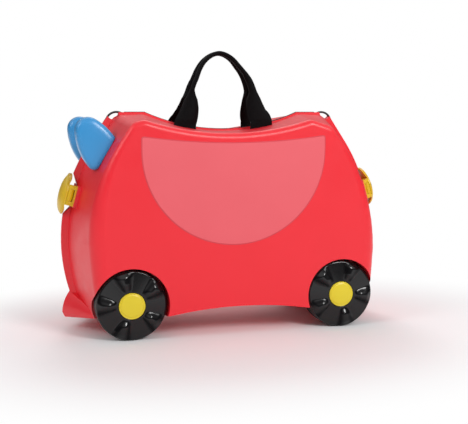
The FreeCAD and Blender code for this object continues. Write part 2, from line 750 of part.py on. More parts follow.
# Clasps
screws = {"clasp_base_screws": [], "keeper_screws": []}
near_screw_holes = []
far_screw_holes = []
for end_name, end_sign in ENDS:
    seat = "-clasp_sink"
    axis = "(clasp_axis_height - clasp_sink)"
    # Base: a plate with two ears for the pin
    plate = block(end_name + "_base_plate", ("clasp_base_start", "clasp_base_end"),
                  ("-clasp_base_half", "clasp_base_half"), (seat, seat + " + clasp_base_thickness"))
    parts = [plate]
    for ear_sign in (-1, 1):
        name = "%s_ear_%d" % (end_name, ear_sign + 1)
        start = "-clasp_base_half" if ear_sign < 0 else "clasp_base_half - clasp_ear_length"
        parts.append(rod(name, "clasp_ear_radius", "clasp_ear_length", "clasp_axis", start, axis, TO_FAR))
        parts.append(block(name + "_stem", ("clasp_axis - clasp_ear_radius", "clasp_axis + clasp_ear_radius"),
                           (start, start + " + clasp_ear_length"), (seat, axis)))
    base_form = fuse(end_name + "_base_form", *parts)
    bore = rod(end_name + "_pin_bore", "clasp_pin_radius + axle_fit", "2 * clasp_base_half + 2 * overrun",
               "clasp_axis", "-clasp_base_half - overrun", axis, TO_FAR)
    hinge_pin = rod(end_name + "_clasp_pin_form", "clasp_pin_radius", "2 * clasp_base_half",
                    "clasp_axis", "-clasp_base_half", axis, TO_FAR)
    holes = []
    for kind, place_x, thickness, key in (
            ("base", "clasp_screw_place", "clasp_base_thickness", "clasp_base_screws"),
            ("keeper", "-clasp_screw_place", "keeper_height - keeper_nose_thickness", "keeper_screws")):
        for spread in (-1, 1):
            name = "%s_%s_screw_%d" % (end_name, kind, spread + 1)
            top = "%s + %s" % (seat, thickness)
            y = "%d * clasp_screw_spread" % spread
            shank = rod(name + "_shank", "clasp_screw_radius", "clasp_screw_length",
                        place_x, y, top + " - clasp_screw_length", None)
            head = rod(name + "_head", "clasp_screw_head_radius", "clasp_screw_head", place_x, y, top, None)
            screws[key].append(on_clasp(fuse(name, shank, head), end_sign))
            hole = rod(name + "_hole", "clasp_screw_radius + axle_fit", "clasp_screw_length + overrun",
                       place_x, y, top + " - clasp_screw_length - axle_fit", None)
            holes.append(hole)
            target = near_screw_holes if kind == "base" else far_screw_holes
            target.append(on_clasp(group(name + "_pilot", [hole]), end_sign))
    base = cut(end_name + "_clasp_base", base_form, bore, holes[0], holes[1])
    node(end_name + "_clasp_base", on_clasp(base, end_sign))
    node(end_name + "_clasp_pin", on_clasp(group(end_name + "_clasp_pin", [hinge_pin]), end_sign))
    # Lever: a domed disc over the base, a knuckle on the pin and a hook at the far edge
    under_disc = "(%s + clasp_ear_radius + fit)" % axis
    disc = rod(end_name + "_disc", "clasp_disc_radius", "clasp_disc_edge + clasp_disc_dome",
               "-clasp_disc_shift", "0", under_disc)
    ball = doc.addObject("Part::Sphere", end_name + "_ball")
    ball_radius = "((clasp_disc_radius ^ 2 + clasp_disc_dome ^ 2) / (2 * clasp_disc_dome))"
    bind(ball, Radius=ball_radius)
    place(ball, "-clasp_disc_shift", "0",
          "%s + clasp_disc_edge + clasp_disc_dome - %s" % (under_disc, ball_radius))
    dome = common(end_name + "_dome", disc, ball)
    inner_half = "(clasp_base_half - clasp_ear_length - fit)"
    knuckle = rod(end_name + "_lever_knuckle", "clasp_ear_radius", "2 * " + inner_half,
                  "clasp_axis", "-" + inner_half, axis, TO_FAR)
    stem = block(end_name + "_lever_stem", ("clasp_axis - clasp_ear_radius", "clasp_axis"),
                 ("-" + inner_half, inner_half), (axis, under_disc + " + clasp_disc_edge"))
    hook_floor = seat + " + clasp_hook_floor"
    arm = block(end_name + "_hook_arm",
                ("-clasp_hook_start - clasp_hook_thickness", "-clasp_hook_start"),
                ("-clasp_hook_half", "clasp_hook_half"), (hook_floor, under_disc + " + clasp_disc_edge"))
    lip = block(end_name + "_hook_lip", ("-clasp_hook_start", "-clasp_hook_start + clasp_hook_lip"),
                ("-clasp_hook_half", "clasp_hook_half"), (hook_floor, hook_floor + " + clasp_hook_lip"))
    lever_form = fuse(end_name + "_lever_form", dome, knuckle, stem, arm, lip)
    lever = cut(end_name + "_clasp_lever", lever_form, bore)
    node(end_name + "_clasp_lever", on_clasp(lever, end_sign))
    # Keeper on the far half: a block with a nose that the hook catches
    body = block(end_name + "_keeper_body", ("-keeper_end", "-keeper_start"),
                 ("-keeper_half", "keeper_half"), (seat, seat + " + keeper_height - keeper_nose_thickness"))
    nose = block(end_name + "_keeper_nose", ("-keeper_end - keeper_nose", "-keeper_end + keeper_nose"),
                 ("-keeper_half", "keeper_half"),
                 (seat + " + keeper_height - keeper_nose_thickness", seat + " + keeper_height"))
    keeper = cut(end_name + "_keeper", fuse(end_name + "_keeper_form", body, nose), holes[2], holes[3])
    node(end_name + "_keeper", on_clasp(keeper, end_sign))
for key, things in screws.items():
    node(key, group(key, things))

# The two shells
near_solid = fuse("near_solid", half_form, *near_knuckles)
node("near_shell", cut("near_shell", near_solid, groove_cut, *near_clear, *tow_sockets, *near_screw_holes))
far_solid = fuse("far_solid", other_half, *far_knuckles)
node("far_shell", cut("far_shell", far_solid, *far_clear, *far_screw_holes))

# Bare panel on each flat side
radius = mm("panel_radius")
bow = mm("panel_bow_height")
y = -mm("side_width")
middle_x = -mm("panel_shift")
corner_z = mm("panel_corner_height")
left, right = V(middle_x - radius, y, bow), V(middle_x + radius, y, bow)
high_left, high_right = V(middle_x - radius, y, corner_z), V(middle_x + radius, y, corner_z)
panel_outline = Part.Wire([edge.toShape() for edge in (
    Part.Arc(left, V(middle_x, y, bow - radius), right),
    Part.LineSegment(right, high_right),
    Part.Arc(high_right, V(middle_x, y, mm("panel_top_height")), high_left),
    Part.LineSegment(high_left, left))])
panel = doc.addObject("Part::Extrusion", "panel_form")
panel.Base = held("panel_outline", Part.Face(panel_outline))
panel.DirMode = "Custom"
panel.Dir = V(0, -1, 0)
panel.Solid = False
bind(panel, LengthFwd="panel_thickness")
both("near_panel", "far_panel", panel)

# Wheels, axles and what holds them, with the angle at which each wheel has stopped
STOP_DEGREES = {"near_front": 34, "near_rear": 65, "far_front": 12, "far_rear": 50}
for side_name, turn, side_sign in (("near", TO_NEAR, -1), ("far", TO_FAR, 1)):
    for end_name, end_sign in ENDS:
        name = "%s_%s" % (side_name, end_name)
        x = "%d * wheel_base_half" % end_sign
        z = "wheel_radius"

        def at(height):
            return "%d * (%s)" % (side_sign, height)

        # Wheel, as a hollow-backed revolve with a hub, then scooped
        face = "(wheel_face - wheel_back)"
        blank = turned(name + "_wheel_blank", [
            ("axle_radius + axle_fit", "0"),
            ("wheel_hub_radius", "0"),
            ("wheel_hub_radius", face + " - wheel_web - nut_pocket + cap_seat"),
            ("wheel_radius - tread_wall", face + " - wheel_web - nut_pocket + cap_seat"),
            ("wheel_radius - tread_wall", "tread_round"),
            ("wheel_radius - tread_round", "tread_round / 2"),
            ("wheel_radius", "1.5 * tread_round"),
            ("wheel_radius", face + " - 1.5 * tread_round"),
            ("wheel_radius - 0.3 * tread_round", face + " - 0.8 * tread_round"),
            ("wheel_radius - tread_round", face + " - face_fall"),
            ("cap_radius + axle_fit", face),
            ("cap_radius + axle_fit", face + " - cap_seat"),
            ("axle_head_radius + cap_skirt", face + " - cap_seat"),
            ("axle_head_radius + cap_skirt", face + " - nut_pocket"),
            ("axle_radius + axle_fit", face + " - nut_pocket"),
        ])
        place(blank, x, at("wheel_back"), z, turn)
        cones = []
        run = mm("wheel_radius - scoop_start")
        tilt = math.degrees(math.atan2(mm("scoop_rise"), run))
        count = int(mm("scoop_count"))
        for number in range(count):
            cone = doc.addObject("Part::Cone", "%s_scoop_%d" % (name, number))
            cone.Radius1 = 0
            bind(cone, Radius2="2 * (scoop_depth + scoop_rise)", Height="2 * (wheel_radius - scoop_start)")
            spin = FreeCAD.Rotation(V(0, 0, 1), STOP_DEGREES[name] + 360 * number / count)
            lean = FreeCAD.Rotation(V(0, 1, 0), 90 - tilt)
            local = FreeCAD.Placement(spin.multVec(V(mm("scoop_start"), 0, mm(face))), spin.multiply(lean))
            hub = FreeCAD.Placement(V(mm(x), mm(at("wheel_back")), mm(z)), turn)
            cone.Placement = hub.multiply(local)
            cones.append(cone)
        node(name + "_wheel", cut(name + "_wheel", blank, *cones))
        # Hub cap, a domed disc with a skirt that snaps into the wheel
        seat_y = at("wheel_face - cap_seat")
        disc = rod(name + "_cap_disc", "cap_radius", "cap_seat + cap_dome", x, seat_y, z, turn)
        ball = doc.addObject("Part::Sphere", name + "_cap_ball")
        ball_radius = "((cap_radius ^ 2 + cap_dome ^ 2) / (2 * cap_dome))"
        bind(ball, Radius=ball_radius)
        place(ball, x, at("wheel_face + cap_dome - " + ball_radius), z)
        pocket = rod(name + "_cap_pocket", "cap_radius - cap_skirt", "cap_seat - cap_edge", x, seat_y, z, turn)
        domed = common(name + "_cap_dome", disc, ball)
        node(name + "_hub_cap", cut(name + "_hub_cap", domed, pocket))
        # Axle with its head inside the case, thrust washer and push nut
        head_y = "well_floor - wall - axle_boss_length"
        nut_y = "wheel_face - nut_pocket + fit"
        shank = rod(name + "_axle_shank", "axle_radius", "%s + nut_thickness + axle_tip - (%s)" % (nut_y, head_y),
                    x, at(head_y), z, turn)
        head = rod(name + "_axle_head", "axle_head_radius", "axle_head", x, at(head_y + " - axle_head"), z, turn)
        node(name + "_axle", fuse(name + "_axle", head, shank))
        for label, outer, start, length in (
                ("washer", "washer_radius", "well_floor", "wheel_back - well_floor - fit"),
                ("push_nut", "nut_radius", nut_y, "nut_thickness")):
            ring = rod("%s_%s_disc" % (name, label), outer, length, x, at(start), z, turn)
            hole = rod("%s_%s_hole" % (name, label), "axle_radius", length, x, at(start), z, turn)
            node("%s_%s" % (name, label), cut("%s_%s" % (name, label), ring, hole))

# Horn on each half: a rounded pad of three lobes that stands on the slope of the front
lobes = [("horn_lobe_x", "horn_lobe_z", "horn_lobe_radius"), ("horn_foot_x", "horn_foot_z", "horn_foot_radius"),
         ("horn_tip_x", "horn_tip_z", "horn_tip_radius")]
horn_body = doc.addObject("PartDesign::Body", "horn_body")
horn_sketch = horn_body.newObject("Sketcher::SketchObject", "horn_outline")
horn_sketch.AttachmentSupport = (origin_plane(horn_body, "XZ_Plane"), [""])
horn_sketch.MapMode = "FlatFace"
centres = [V(-mm(lobe[0]), mm(lobe[1]), 0) for lobe in lobes]
radii = [mm(lobe[2]) for lobe in lobes]
side_radius = mm("horn_side_radius")
bows = []
for index in range(3):
    # Each side is one wide arc that touches two lobes from inside
    first, last = centres[index], centres[(index + 1) % 3]
    to_first = side_radius - radii[index]
    to_last = side_radius - radii[(index + 1) % 3]
    span = last - first
    along = (to_first ** 2 - to_last ** 2 + span.Length ** 2) / (2 * span.Length)
    inwards = math.sqrt(to_first ** 2 - along ** 2)
    ahead = V(span).normalize()
    bows.append(first + ahead * along + V(-ahead.y, ahead.x, 0) * inwards)


def swept(centre, radius, before, after):
    """An arc from one outward direction to the next, counter-clockwise."""
    start = math.atan2(before.y, before.x)
    end = math.atan2(after.y, after.x)
    circle = Part.Circle(centre, V(0, 0, 1), radius)
    return Part.ArcOfCircle(circle, start, end if end > start else end + 2 * math.pi)


for index in range(3):
    horn_sketch.addGeometry(swept(centres[index], radii[index], centres[index] - bows[index - 1],
                                  centres[index] - bows[index]))
for index in range(3):
    horn_sketch.addGeometry(swept(bows[index], side_radius, centres[index] - bows[index],
                                  centres[(index + 1) % 3] - bows[index]))
for index in range(3):
    horn_sketch.addConstraint(Sketcher.Constraint("Tangent", index, 2, 3 + index, 1))
    horn_sketch.addConstraint(Sketcher.Constraint("Tangent", 3 + index, 2, (index + 1) % 3, 1))
    for constraint, rule in (
            (Sketcher.Constraint("Radius", index, radii[index]), lobes[index][2]),
            (Sketcher.Constraint("Radius", 3 + index, side_radius), "horn_side_radius"),
            (Sketcher.Constraint("DistanceX", -1, 1, index, 3, centres[index].x), "-" + lobes[index][0]),
            (Sketcher.Constraint("DistanceY", -1, 1, index, 3, centres[index].y), lobes[index][1])):
        number = horn_sketch.addConstraint(constraint)
        horn_sketch.setExpression("Constraints[%d]" % number, cells(rule))
horn_pad = horn_body.newObject("PartDesign::Pad", "horn_pad")
horn_pad.Profile = horn_sketch
bind(horn_pad, Length="horn_thickness")
doc.recompute()
horn_edges = ["Edge%d" % (number + 1) for number, edge in enumerate(horn_pad.Shape.Edges)
              if edge.BoundBox.YLength < mm("fit")]
horn_soft = horn_body.newObject("PartDesign::Fillet", "horn_soft")
horn_soft.Base = (horn_pad, horn_edges)
bind(horn_soft, Radius="horn_round")
doc.recompute()
place(horn_body, "0", "-(horn_middle - horn_thickness / 2)", "0")
pilot = rod("horn_pilot", "horn_screw_radius + axle_fit", "horn_screw_reach - horn_screw_seat + fit",
            "-horn_screw_seat", "-horn_screw_y", "horn_screw_z", ALONG_BACK_X)
skin = case_form("horn_seat", -mm("fit"), gap_half)
both("near_horn", "far_horn", cut_in_turn("near_horn", horn_body, skin, pilot))
screw_shank = rod("horn_screw_shank", "horn_screw_radius", "horn_screw_reach - horn_screw_seat",
                  "-horn_screw_seat", "-horn_screw_y", "horn_screw_z", ALONG_BACK_X)
screw_head = rod("horn_screw_cap", "horn_screw_head_radius", "horn_screw_head",
                 "-horn_screw_seat + horn_screw_head", "-horn_screw_y", "horn_screw_z", ALONG_BACK_X)
both("near_horn_screw", "far_horn_screw", fuse("near_horn_screw", screw_shank, screw_head))

# Webbing handle: flat legs that fold together into a narrow grip
ROUND_SHARE = 0.45
LEG_SHARES = ((0.0, 0.0), (0.16, 0.0), (0.32, 0.08), (0.46, 0.24),
              (0.6, 0.46), (0.74, 0.68), (0.88, 0.88), (1.0, 1.0))
ARCH_SHARES = ((0.955, 0.1), (0.9, 0.245), (0.825, 0.39), (0.71, 0.555), (0.55, 0.74), (0.3, 0.92))


def strap_section(name, centre, along, width, depth):
    """A rounded band section square to the path, at its width in the handle's plane and depth across it."""
    across = V(along.z, 0, -along.x)
    radius = ROUND_SHARE * min(width, depth)
    side = V(0, 1, 0)
    corners = []
    for across_sign, side_sign in ((1, -1), (1, 1), (-1, 1), (-1, -1)):
        corners.append((across * across_sign, side * side_sign))
    edges = []
    spots = []
    for number, (out, over) in enumerate(corners):
        core = centre + out * (width / 2 - radius) + over * (depth / 2 - radius)
        first, last = (over, out) if number % 2 == 0 else (out, over)
        middle = (out + over).normalize()
        spots.append((core + first * radius, core + middle * radius, core + last * radius))
    for number in range(4):
        edges.append(Part.Arc(*spots[number]).toShape())
        edges.append(Part.LineSegment(spots[number][2], spots[(number + 1) % 4][0]).toShape())
    return held(name, Part.Wire(edges))


# One side of the path from the seat to the top, then its mirror image: place, width and depth
leg_start = V(mm("handle_leg"), 0, -mm("strap_end_drop"))
leg_end = V(mm("grip_half"), 0, mm("grip_pinch"))
rise = []
for reach_share, fold_share in LEG_SHARES:
    width = mm("strap_width") + (mm("grip_width") - mm("strap_width")) * fold_share
    depth = mm("strap_thickness") + (mm("grip_depth") - mm("strap_thickness")) * fold_share
    rise.append((leg_start + (leg_end - leg_start) * reach_share, width, depth))
for half_share, height_share in ARCH_SHARES:
    spot = V(mm("grip_half") * half_share, 0, mm("grip_pinch") + mm("grip_rise") * height_share)
    rise.append((spot, mm("grip_width"), mm("grip_depth")))
crown = (V(0, 0, mm("grip_pinch + grip_rise")), mm("grip_width"), mm("grip_depth"))
fall = [(V(-spot.x, 0, spot.z), width, depth) for spot, width, depth in reversed(rise)]
route = rise + [crown] + fall
stations = []
for number, (spot, width, depth) in enumerate(route):
    before, after = route[max(number - 1, 0)][0], route[min(number + 1, len(route) - 1)][0]
    along = (after - before).normalize()
    if number == 0:
        along = V(0, 0, 1)
    elif number == len(route) - 1:
        along = V(0, 0, -1)
    stations.append((spot, along, width, depth))
handle_sections = [strap_section("handle_section_%d" % number, *station)
                   for number, station in enumerate(stations)]
pinch = len(LEG_SHARES)
grip = loft("handle_grip", *handle_sections[pinch - 1:1 - pinch])
grip.Ruled = False
front_leg = loft("handle_front_leg", *handle_sections[:pinch])
rear_leg = loft("handle_rear_leg", *handle_sections[-pinch:])
handle = fuse("near_handle", grip, front_leg, rear_leg)
lean = FreeCAD.Rotation(V(1, 0, 0), -mm("handle_lean_degrees"))
place(handle, "-handle_shift", "-handle_seat", "handle_fold_height", lean)
both("near_handle", "far_handle", handle)


def seat_underside(x, y):
    """Height of the hollow's roof under the saddle, at a place along and across."""
    across = y / mm("side_width")
    roof = 0.0
    for section, share in (("seam", 1 - across), ("side", across)):
        front = -mm(section + "_hump_start")
        rear = mm("tail_hump_start") if section == "side" else -front
        half = (rear - front) / 2
        sag = mm("%s_hump_height - %s_saddle_height" % (section, section))
        radius = (half ** 2 + sag ** 2) / (2 * sag)
        away = x - (front + rear) / 2
        roof += share * (mm(section + "_saddle_height") + radius - math.sqrt(radius ** 2 - away ** 2))
    return roof - mm("wall")


tails = []
bars = []
for leg_sign in (-1, 1):
    middle = "(%d * handle_leg - handle_shift)" % leg_sign
    name = "strap_tail_%d" % (leg_sign + 1)
    reach = mm("bar_length / 2")
    outer_y = mm("handle_seat + bar_depth / 2")
    ends = [seat_underside(mm(middle) + side * reach, outer_y) for side in (-1, 1)]
    slope = math.degrees(math.atan2(ends[1] - ends[0], 2 * reach))
    roof = seat_underside(mm(middle), outer_y) - mm("2 * fit")
    tilt = FreeCAD.Placement(V(mm(middle), -mm("handle_seat"), roof), FreeCAD.Rotation(V(0, 1, 0), -slope))
    tail = block(name, (middle + " - strap_width / 2", middle + " + strap_width / 2"),
                 ("-handle_seat - strap_thickness / 2", "-handle_seat + strap_thickness / 2"),
                 ("seam_saddle_height - wall - bar_thickness - tail_end", "handle_fold_height - fold_room"))
    tails.append(tail)
    flat_bar = block(name + "_bar", ("-bar_length / 2", "bar_length / 2"), ("-bar_depth / 2", "bar_depth / 2"),
                     ("-bar_thickness", "0"))
    bar = group(name + "_tilted_bar", [flat_bar])
    bar.Placement = tilt
    opening = block(name + "_bar_slot",
                    (middle + " - strap_width / 2 - axle_fit", middle + " + strap_width / 2 + axle_fit"),
                    ("-handle_seat - strap_thickness / 2 - axle_fit",
                     "-handle_seat + strap_thickness / 2 + axle_fit"),
                    ("handle_fold_height - 2 * skirt", "handle_fold_height"))
    bars.append(cut(name + "_anchor", bar, opening))
both("near_handle_tails", "far_handle_tails", group("near_handle_tails", tails))
both("near_handle_bars", "far_handle_bars", group("near_handle_bars", bars))

# Check everything, then write one file for each piece
doc.recompute()
for item in doc.Objects:
    if "Invalid" in item.State or "Error" in item.State:
        raise RuntimeError("%s failed: %s" % (item.Name, item.State))
for name, thing in nodes.items():
    if thing.Shape.isNull() or not thing.Shape.isValid() or not thing.Shape.Solids:
        raise RuntimeError("%s has no sound solid" % name)
os.makedirs("parts", exist_ok=True)
for name, thing in nodes.items():
    thing.Shape.exportStep("parts/%s.step" % name)
    print(name, len(thing.Shape.Solids), "solids", round(thing.Shape.Volume), "mm3")
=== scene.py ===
# %% [markdown]
# # A ride-on suitcase
# The case is a red clamshell that a child sits on and rolls along. The imported solids are the frame:
# every piece made here sits where its solid sits, in metres, and all but the handles move with that
# solid's body.
# The shells keep their solids, because a moulded shell is already what the solid is. The wheels, caps,
# horns, panels and webbing handles are modelled again, because their charm is in soft forms and
# finishes, and each clasp lever gets a full round lid.

# %% Load the frame
import math

import bpy
from mathutils import Matrix, Vector
from mathutils.bvhtree import BVHTree


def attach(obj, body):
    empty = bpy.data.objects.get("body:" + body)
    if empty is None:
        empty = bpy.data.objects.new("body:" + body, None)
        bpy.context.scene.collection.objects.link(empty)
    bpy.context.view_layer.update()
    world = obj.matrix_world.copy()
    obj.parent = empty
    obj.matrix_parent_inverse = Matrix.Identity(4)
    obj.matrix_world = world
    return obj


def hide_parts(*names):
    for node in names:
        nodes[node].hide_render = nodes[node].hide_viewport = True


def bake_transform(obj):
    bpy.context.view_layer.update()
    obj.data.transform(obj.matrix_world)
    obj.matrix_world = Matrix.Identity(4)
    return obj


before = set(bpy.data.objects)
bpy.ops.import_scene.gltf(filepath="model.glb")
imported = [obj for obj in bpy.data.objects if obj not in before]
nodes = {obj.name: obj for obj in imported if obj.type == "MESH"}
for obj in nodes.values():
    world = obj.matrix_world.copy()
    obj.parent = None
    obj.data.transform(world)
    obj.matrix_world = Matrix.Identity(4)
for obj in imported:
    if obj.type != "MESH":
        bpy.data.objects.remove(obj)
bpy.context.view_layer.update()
MM = 0.001

# %% [markdown]
# ## Camera
# The camera stands where the photographer stood: a little in front of the case, a little above it.
# A long lens keeps the sides nearly parallel. Setting it first means that every later render can be
# laid beside the picture.

# %% Camera
CAMERA_PLACE = (-0.31324, -1.19969, 0.29765)
CAMERA_TURN_DEGREES = -15.46
CAMERA_TILT_DEGREES = 6.51
LENS_MM = 66.16
SENSOR_MM = 36.0

lens = bpy.data.cameras.new("camera")
lens.lens = LENS_MM
lens.sensor_width = SENSOR_MM
lens.sensor_fit = "HORIZONTAL"
camera = bpy.data.objects.new("camera", lens)
camera.location = CAMERA_PLACE
camera.rotation_euler = (math.radians(90 - CAMERA_TILT_DEGREES), 0, math.radians(CAMERA_TURN_DEGREES))
bpy.context.scene.collection.objects.link(camera)
bpy.context.scene.camera = camera
print("camera at", [round(value, 3) for value in camera.location], "lens", LENS_MM)

# %% [markdown]
# ## Helpers for modelling by hand
# Operators act on whatever is selected, so each piece starts with nothing selected. When a piece is
# ready, its place is applied, so that the object sits at the origin as the solids do.

# %% Selecting and placing
def deselect_all():
    """Leave edit mode and select nothing."""
    if bpy.context.mode != "OBJECT":
        bpy.ops.object.mode_set(mode="OBJECT")
    bpy.ops.object.select_all(action="DESELECT")


def take(piece):
    """Select one piece alone and make it the one that operators work on."""
    deselect_all()
    piece.select_set(True)
    bpy.context.view_layer.objects.active = piece


def settle(piece, matrix):
    """Put a piece in place and apply that place to its mesh."""
    take(piece)
    piece.matrix_world = matrix
    bpy.ops.object.transform_apply(location=True, rotation=True, scale=True)
    return piece


def smooth(piece, degrees):
    """Shade a piece smooth, apart from edges that are sharper than an angle."""
    take(piece)
    bpy.ops.object.shade_smooth_by_angle(angle=math.radians(degrees))


def apply_modifier(piece, name, kind, **settings):
    """Add a modifier with its settings and apply it at once."""
    take(piece)
    modifier = piece.modifiers.new(name, kind)
    for key, value in settings.items():
        setattr(modifier, key, value)
    bpy.ops.object.modifier_apply(modifier=name)


def turn_outwards(piece):
    """Make all faces of a piece point outwards."""
    take(piece)
    bpy.ops.object.mode_set(mode="EDIT")
    bpy.ops.mesh.select_all(action="SELECT")
    bpy.ops.mesh.normals_make_consistent(inside=False)
    bpy.ops.object.mode_set(mode="OBJECT")


print("helpers for selecting and placing ready")

# %% [markdown]
# A turned piece, such as a wheel, starts as one point that is extruded along its outline and then spun
# round, as on a lathe. What repeats is modelled once and copied, and the far side of the case mirrors
# the near side. A mirrored mesh is inside out until its faces are turned.

# %% Turning and copying
MERGE_DISTANCE = MM / 100


def turned_piece(name, outline, steps):
    """Extrude one point along an outline of (radius, height) in millimetres, then spin it about Z."""
    deselect_all()
    bpy.ops.mesh.primitive_plane_add(size=MM)
    piece = bpy.context.object
    piece.name = name
    bpy.ops.object.mode_set(mode="EDIT")
    bpy.ops.mesh.select_mode(type="VERT")
    bpy.ops.mesh.select_all(action="SELECT")
    bpy.ops.mesh.merge(type="CENTER")
    bpy.ops.transform.translate(value=(outline[0][0] * MM, 0, outline[0][1] * MM))
    for here, there in zip(outline, outline[1:]):
        step = ((there[0] - here[0]) * MM, 0, (there[1] - here[1]) * MM)
        bpy.ops.mesh.extrude_region_move(TRANSFORM_OT_translate={"value": step})
    bpy.ops.mesh.select_all(action="SELECT")
    bpy.ops.mesh.spin(steps=steps, angle=2 * math.pi, center=(0, 0, 0), axis=(0, 0, 1))
    bpy.ops.mesh.select_all(action="SELECT")
    bpy.ops.mesh.remove_doubles(threshold=MERGE_DISTANCE)
    bpy.ops.mesh.normals_make_consistent(inside=False)
    bpy.ops.object.mode_set(mode="OBJECT")
    return piece


def copy_piece(piece, name):
    """A copy with its own mesh."""
    other = piece.copy()
    other.data = piece.data.copy()
    other.name = name
    bpy.context.scene.collection.objects.link(other)
    return other


def mirrored_copy(piece, name):
    """The same piece on the other side of the seam, turned the right way out."""
    other = settle(copy_piece(piece, name), Matrix.Scale(-1, 4, (0, 1, 0)))
    turn_outwards(other)
    return other


print("helpers for turning and copying ready")

# %% [markdown]
# ## Finishes
# A finish is never one flat colour. Moulded plastic has a fine grain from the mould, gloss that
# varies a little from place to place, and colour that drifts slightly. Three small functions add the
# nodes for these, each reading Object coordinates so that the pattern sticks to the piece.

# %% Colours and nodes
def linear(value):
    """One channel of a screen colour, from 0 to 255, made linear by the sRGB rule."""
    share = value / 255
    if share <= 0.04045:
        return share / 12.92
    return ((share + 0.055) / 1.055) ** 2.4


def colour(red, green, blue):
    """A colour written as on a screen, made linear for the shader."""
    return [linear(red), linear(green), linear(blue), 1.0]


def new_finish(name, roughness, **sockets):
    """A material with its node tree and shader, and with values set on the shader's sockets."""
    finish = bpy.data.materials.new(name)
    finish.use_nodes = True
    shader = finish.node_tree.nodes["Principled BSDF"]
    shader.inputs["Roughness"].default_value = roughness
    for socket, value in sockets.items():
        shader.inputs[socket.replace("_", " ")].default_value = value
    return finish, finish.node_tree, shader


def add_node(tree, kind, inputs=None, **settings):
    """A node with its settings and the values of its inputs."""
    made = tree.nodes.new(kind)
    for key, value in settings.items():
        setattr(made, key, value)
    for key, value in (inputs or {}).items():
        made.inputs[key].default_value = value
    return made


print("white is", [round(value, 3) for value in colour(255, 255, 255)])

# %% [markdown]
# The noise texture gives values that hardly leave the range from 0.3 to 0.7, so that range is spread
# over the whole span of roughness.

# %% Drift, gloss and grain
NOISE_LOW = 0.3
NOISE_HIGH = 0.7
COLOUR_DETAIL = 2.0
GLOSS_DETAIL = 4.0
GRAIN_DETAIL = 3.0
PLASTIC_COLOUR_SCALE = 14.0
PLASTIC_GLOSS_SCALE = 45.0


def cloud(tree, scale, detail):
    """Soft noise that sticks to the piece, as a value from 0 to 1."""
    spot = add_node(tree, "ShaderNodeTexCoord")
    noise = add_node(tree, "ShaderNodeTexNoise", {"Scale": scale, "Detail": detail})
    tree.links.new(spot.outputs["Object"], noise.inputs["Vector"])
    return noise.outputs["Fac"]


def drift_colour(tree, shader, first, second, scale):
    """Let the colour drift between two near shades."""
    mix = add_node(tree, "ShaderNodeMix", data_type="RGBA")
    mix.inputs["A"].default_value = first
    mix.inputs["B"].default_value = second
    tree.links.new(cloud(tree, scale, COLOUR_DETAIL), mix.inputs["Factor"])
    tree.links.new(mix.outputs["Result"], shader.inputs["Base Color"])


def drift_gloss(tree, shader, low, high, scale):
    """Let the roughness wander between two values."""
    levels = {"From Min": NOISE_LOW, "From Max": NOISE_HIGH, "To Min": low, "To Max": high}
    spread = add_node(tree, "ShaderNodeMapRange", levels)
    tree.links.new(cloud(tree, scale, GLOSS_DETAIL), spread.inputs["Value"])
    tree.links.new(spread.outputs["Result"], shader.inputs["Roughness"])


def add_grain(tree, shader, scale, strength, depth_mm):
    """The fine skin that a mould leaves, as a bump."""
    bump = add_node(tree, "ShaderNodeBump", {"Strength": strength, "Distance": depth_mm * MM})
    tree.links.new(cloud(tree, scale, GRAIN_DETAIL), bump.inputs["Height"])
    tree.links.new(bump.outputs["Normal"], shader.inputs["Normal"])


def plastic(name, first, second, gloss, grain):
    """A moulded plastic from two shades, a range of roughness and a grain of (scale, strength, depth)."""
    finish, tree, shader = new_finish(name, gloss[0])
    drift_colour(tree, shader, colour(*first), colour(*second), PLASTIC_COLOUR_SCALE)
    drift_gloss(tree, shader, gloss[0], gloss[1], PLASTIC_GLOSS_SCALE)
    add_grain(tree, shader, *grain)
    return finish


print("finish helpers ready")

# %% [markdown]
# The shell is satin red, and the bare panel on each side is the same red under a frosted film, so it
# is paler and duller. The wheels are glossy black, the caps and clasps two near shades of yellow, and
# the horns a soft sky blue.

# %% Plastics
shell_red = plastic("shell_red", (235, 34, 48), (229, 30, 43), (0.3, 0.4), (1500.0, 0.08, 0.05))
panel_frost = plastic("panel_frost", (222, 86, 95), (227, 92, 101), (0.52, 0.6), (2600.0, 0.16, 0.05))
# The panel border is a darker red: painted shade for the sunk line round the panel
panel_border_painted_shade = plastic("panel_border_painted_shade", (206, 58, 70), (212, 64, 76), (0.5, 0.6), (2600.0, 0.1, 0.05))
wheel_black = plastic("wheel_black", (12, 11, 13), (16, 15, 17), (0.1, 0.16), (900.0, 0.04, 0.03))
tread_black = plastic("tread_black", (18, 17, 18), (27, 26, 26), (0.42, 0.6), (1300.0, 0.25, 0.08))
cap_yellow = plastic("cap_yellow", (224, 203, 40), (217, 194, 36), (0.3, 0.42), (1500.0, 0.08, 0.04))
clasp_yellow = plastic("clasp_yellow", (226, 186, 22), (218, 178, 20), (0.26, 0.38), (1500.0, 0.08, 0.04))
horn_blue = plastic("horn_blue", (58, 148, 208), (52, 140, 200), (0.24, 0.34), (1400.0, 0.08, 0.04))
seal_grey = plastic("seal_grey", (38, 32, 34), (48, 42, 44), (0.6, 0.75), (1800.0, 0.3, 0.06))
anchor_black = plastic("anchor_black", (22, 22, 24), (30, 30, 32), (0.4, 0.5), (1200.0, 0.12, 0.05))
washer_white = plastic("washer_white", (222, 220, 212), (212, 209, 200), (0.4, 0.5), (1200.0, 0.1, 0.04))
loop_black = plastic("loop_black", (24, 22, 23), (34, 31, 31), (0.3, 0.4), (1600.0, 0.1, 0.03))
print("plastics made, from", shell_red.name, "to", loop_black.name)

# %% [markdown]
# The petals on a wheel shine on their crests, and their flanks are given a lower specular level so that they
# read dark: painted shade that stands in for a dark reflection. An attribute of the wheel's points says
# how much a place is a flank, and the specular level falls with it.

# %% Painted shade on the wheel flanks
CREST_SHINE = 0.45
FLANK_SHINE_PAINTED_DARK = 0.1

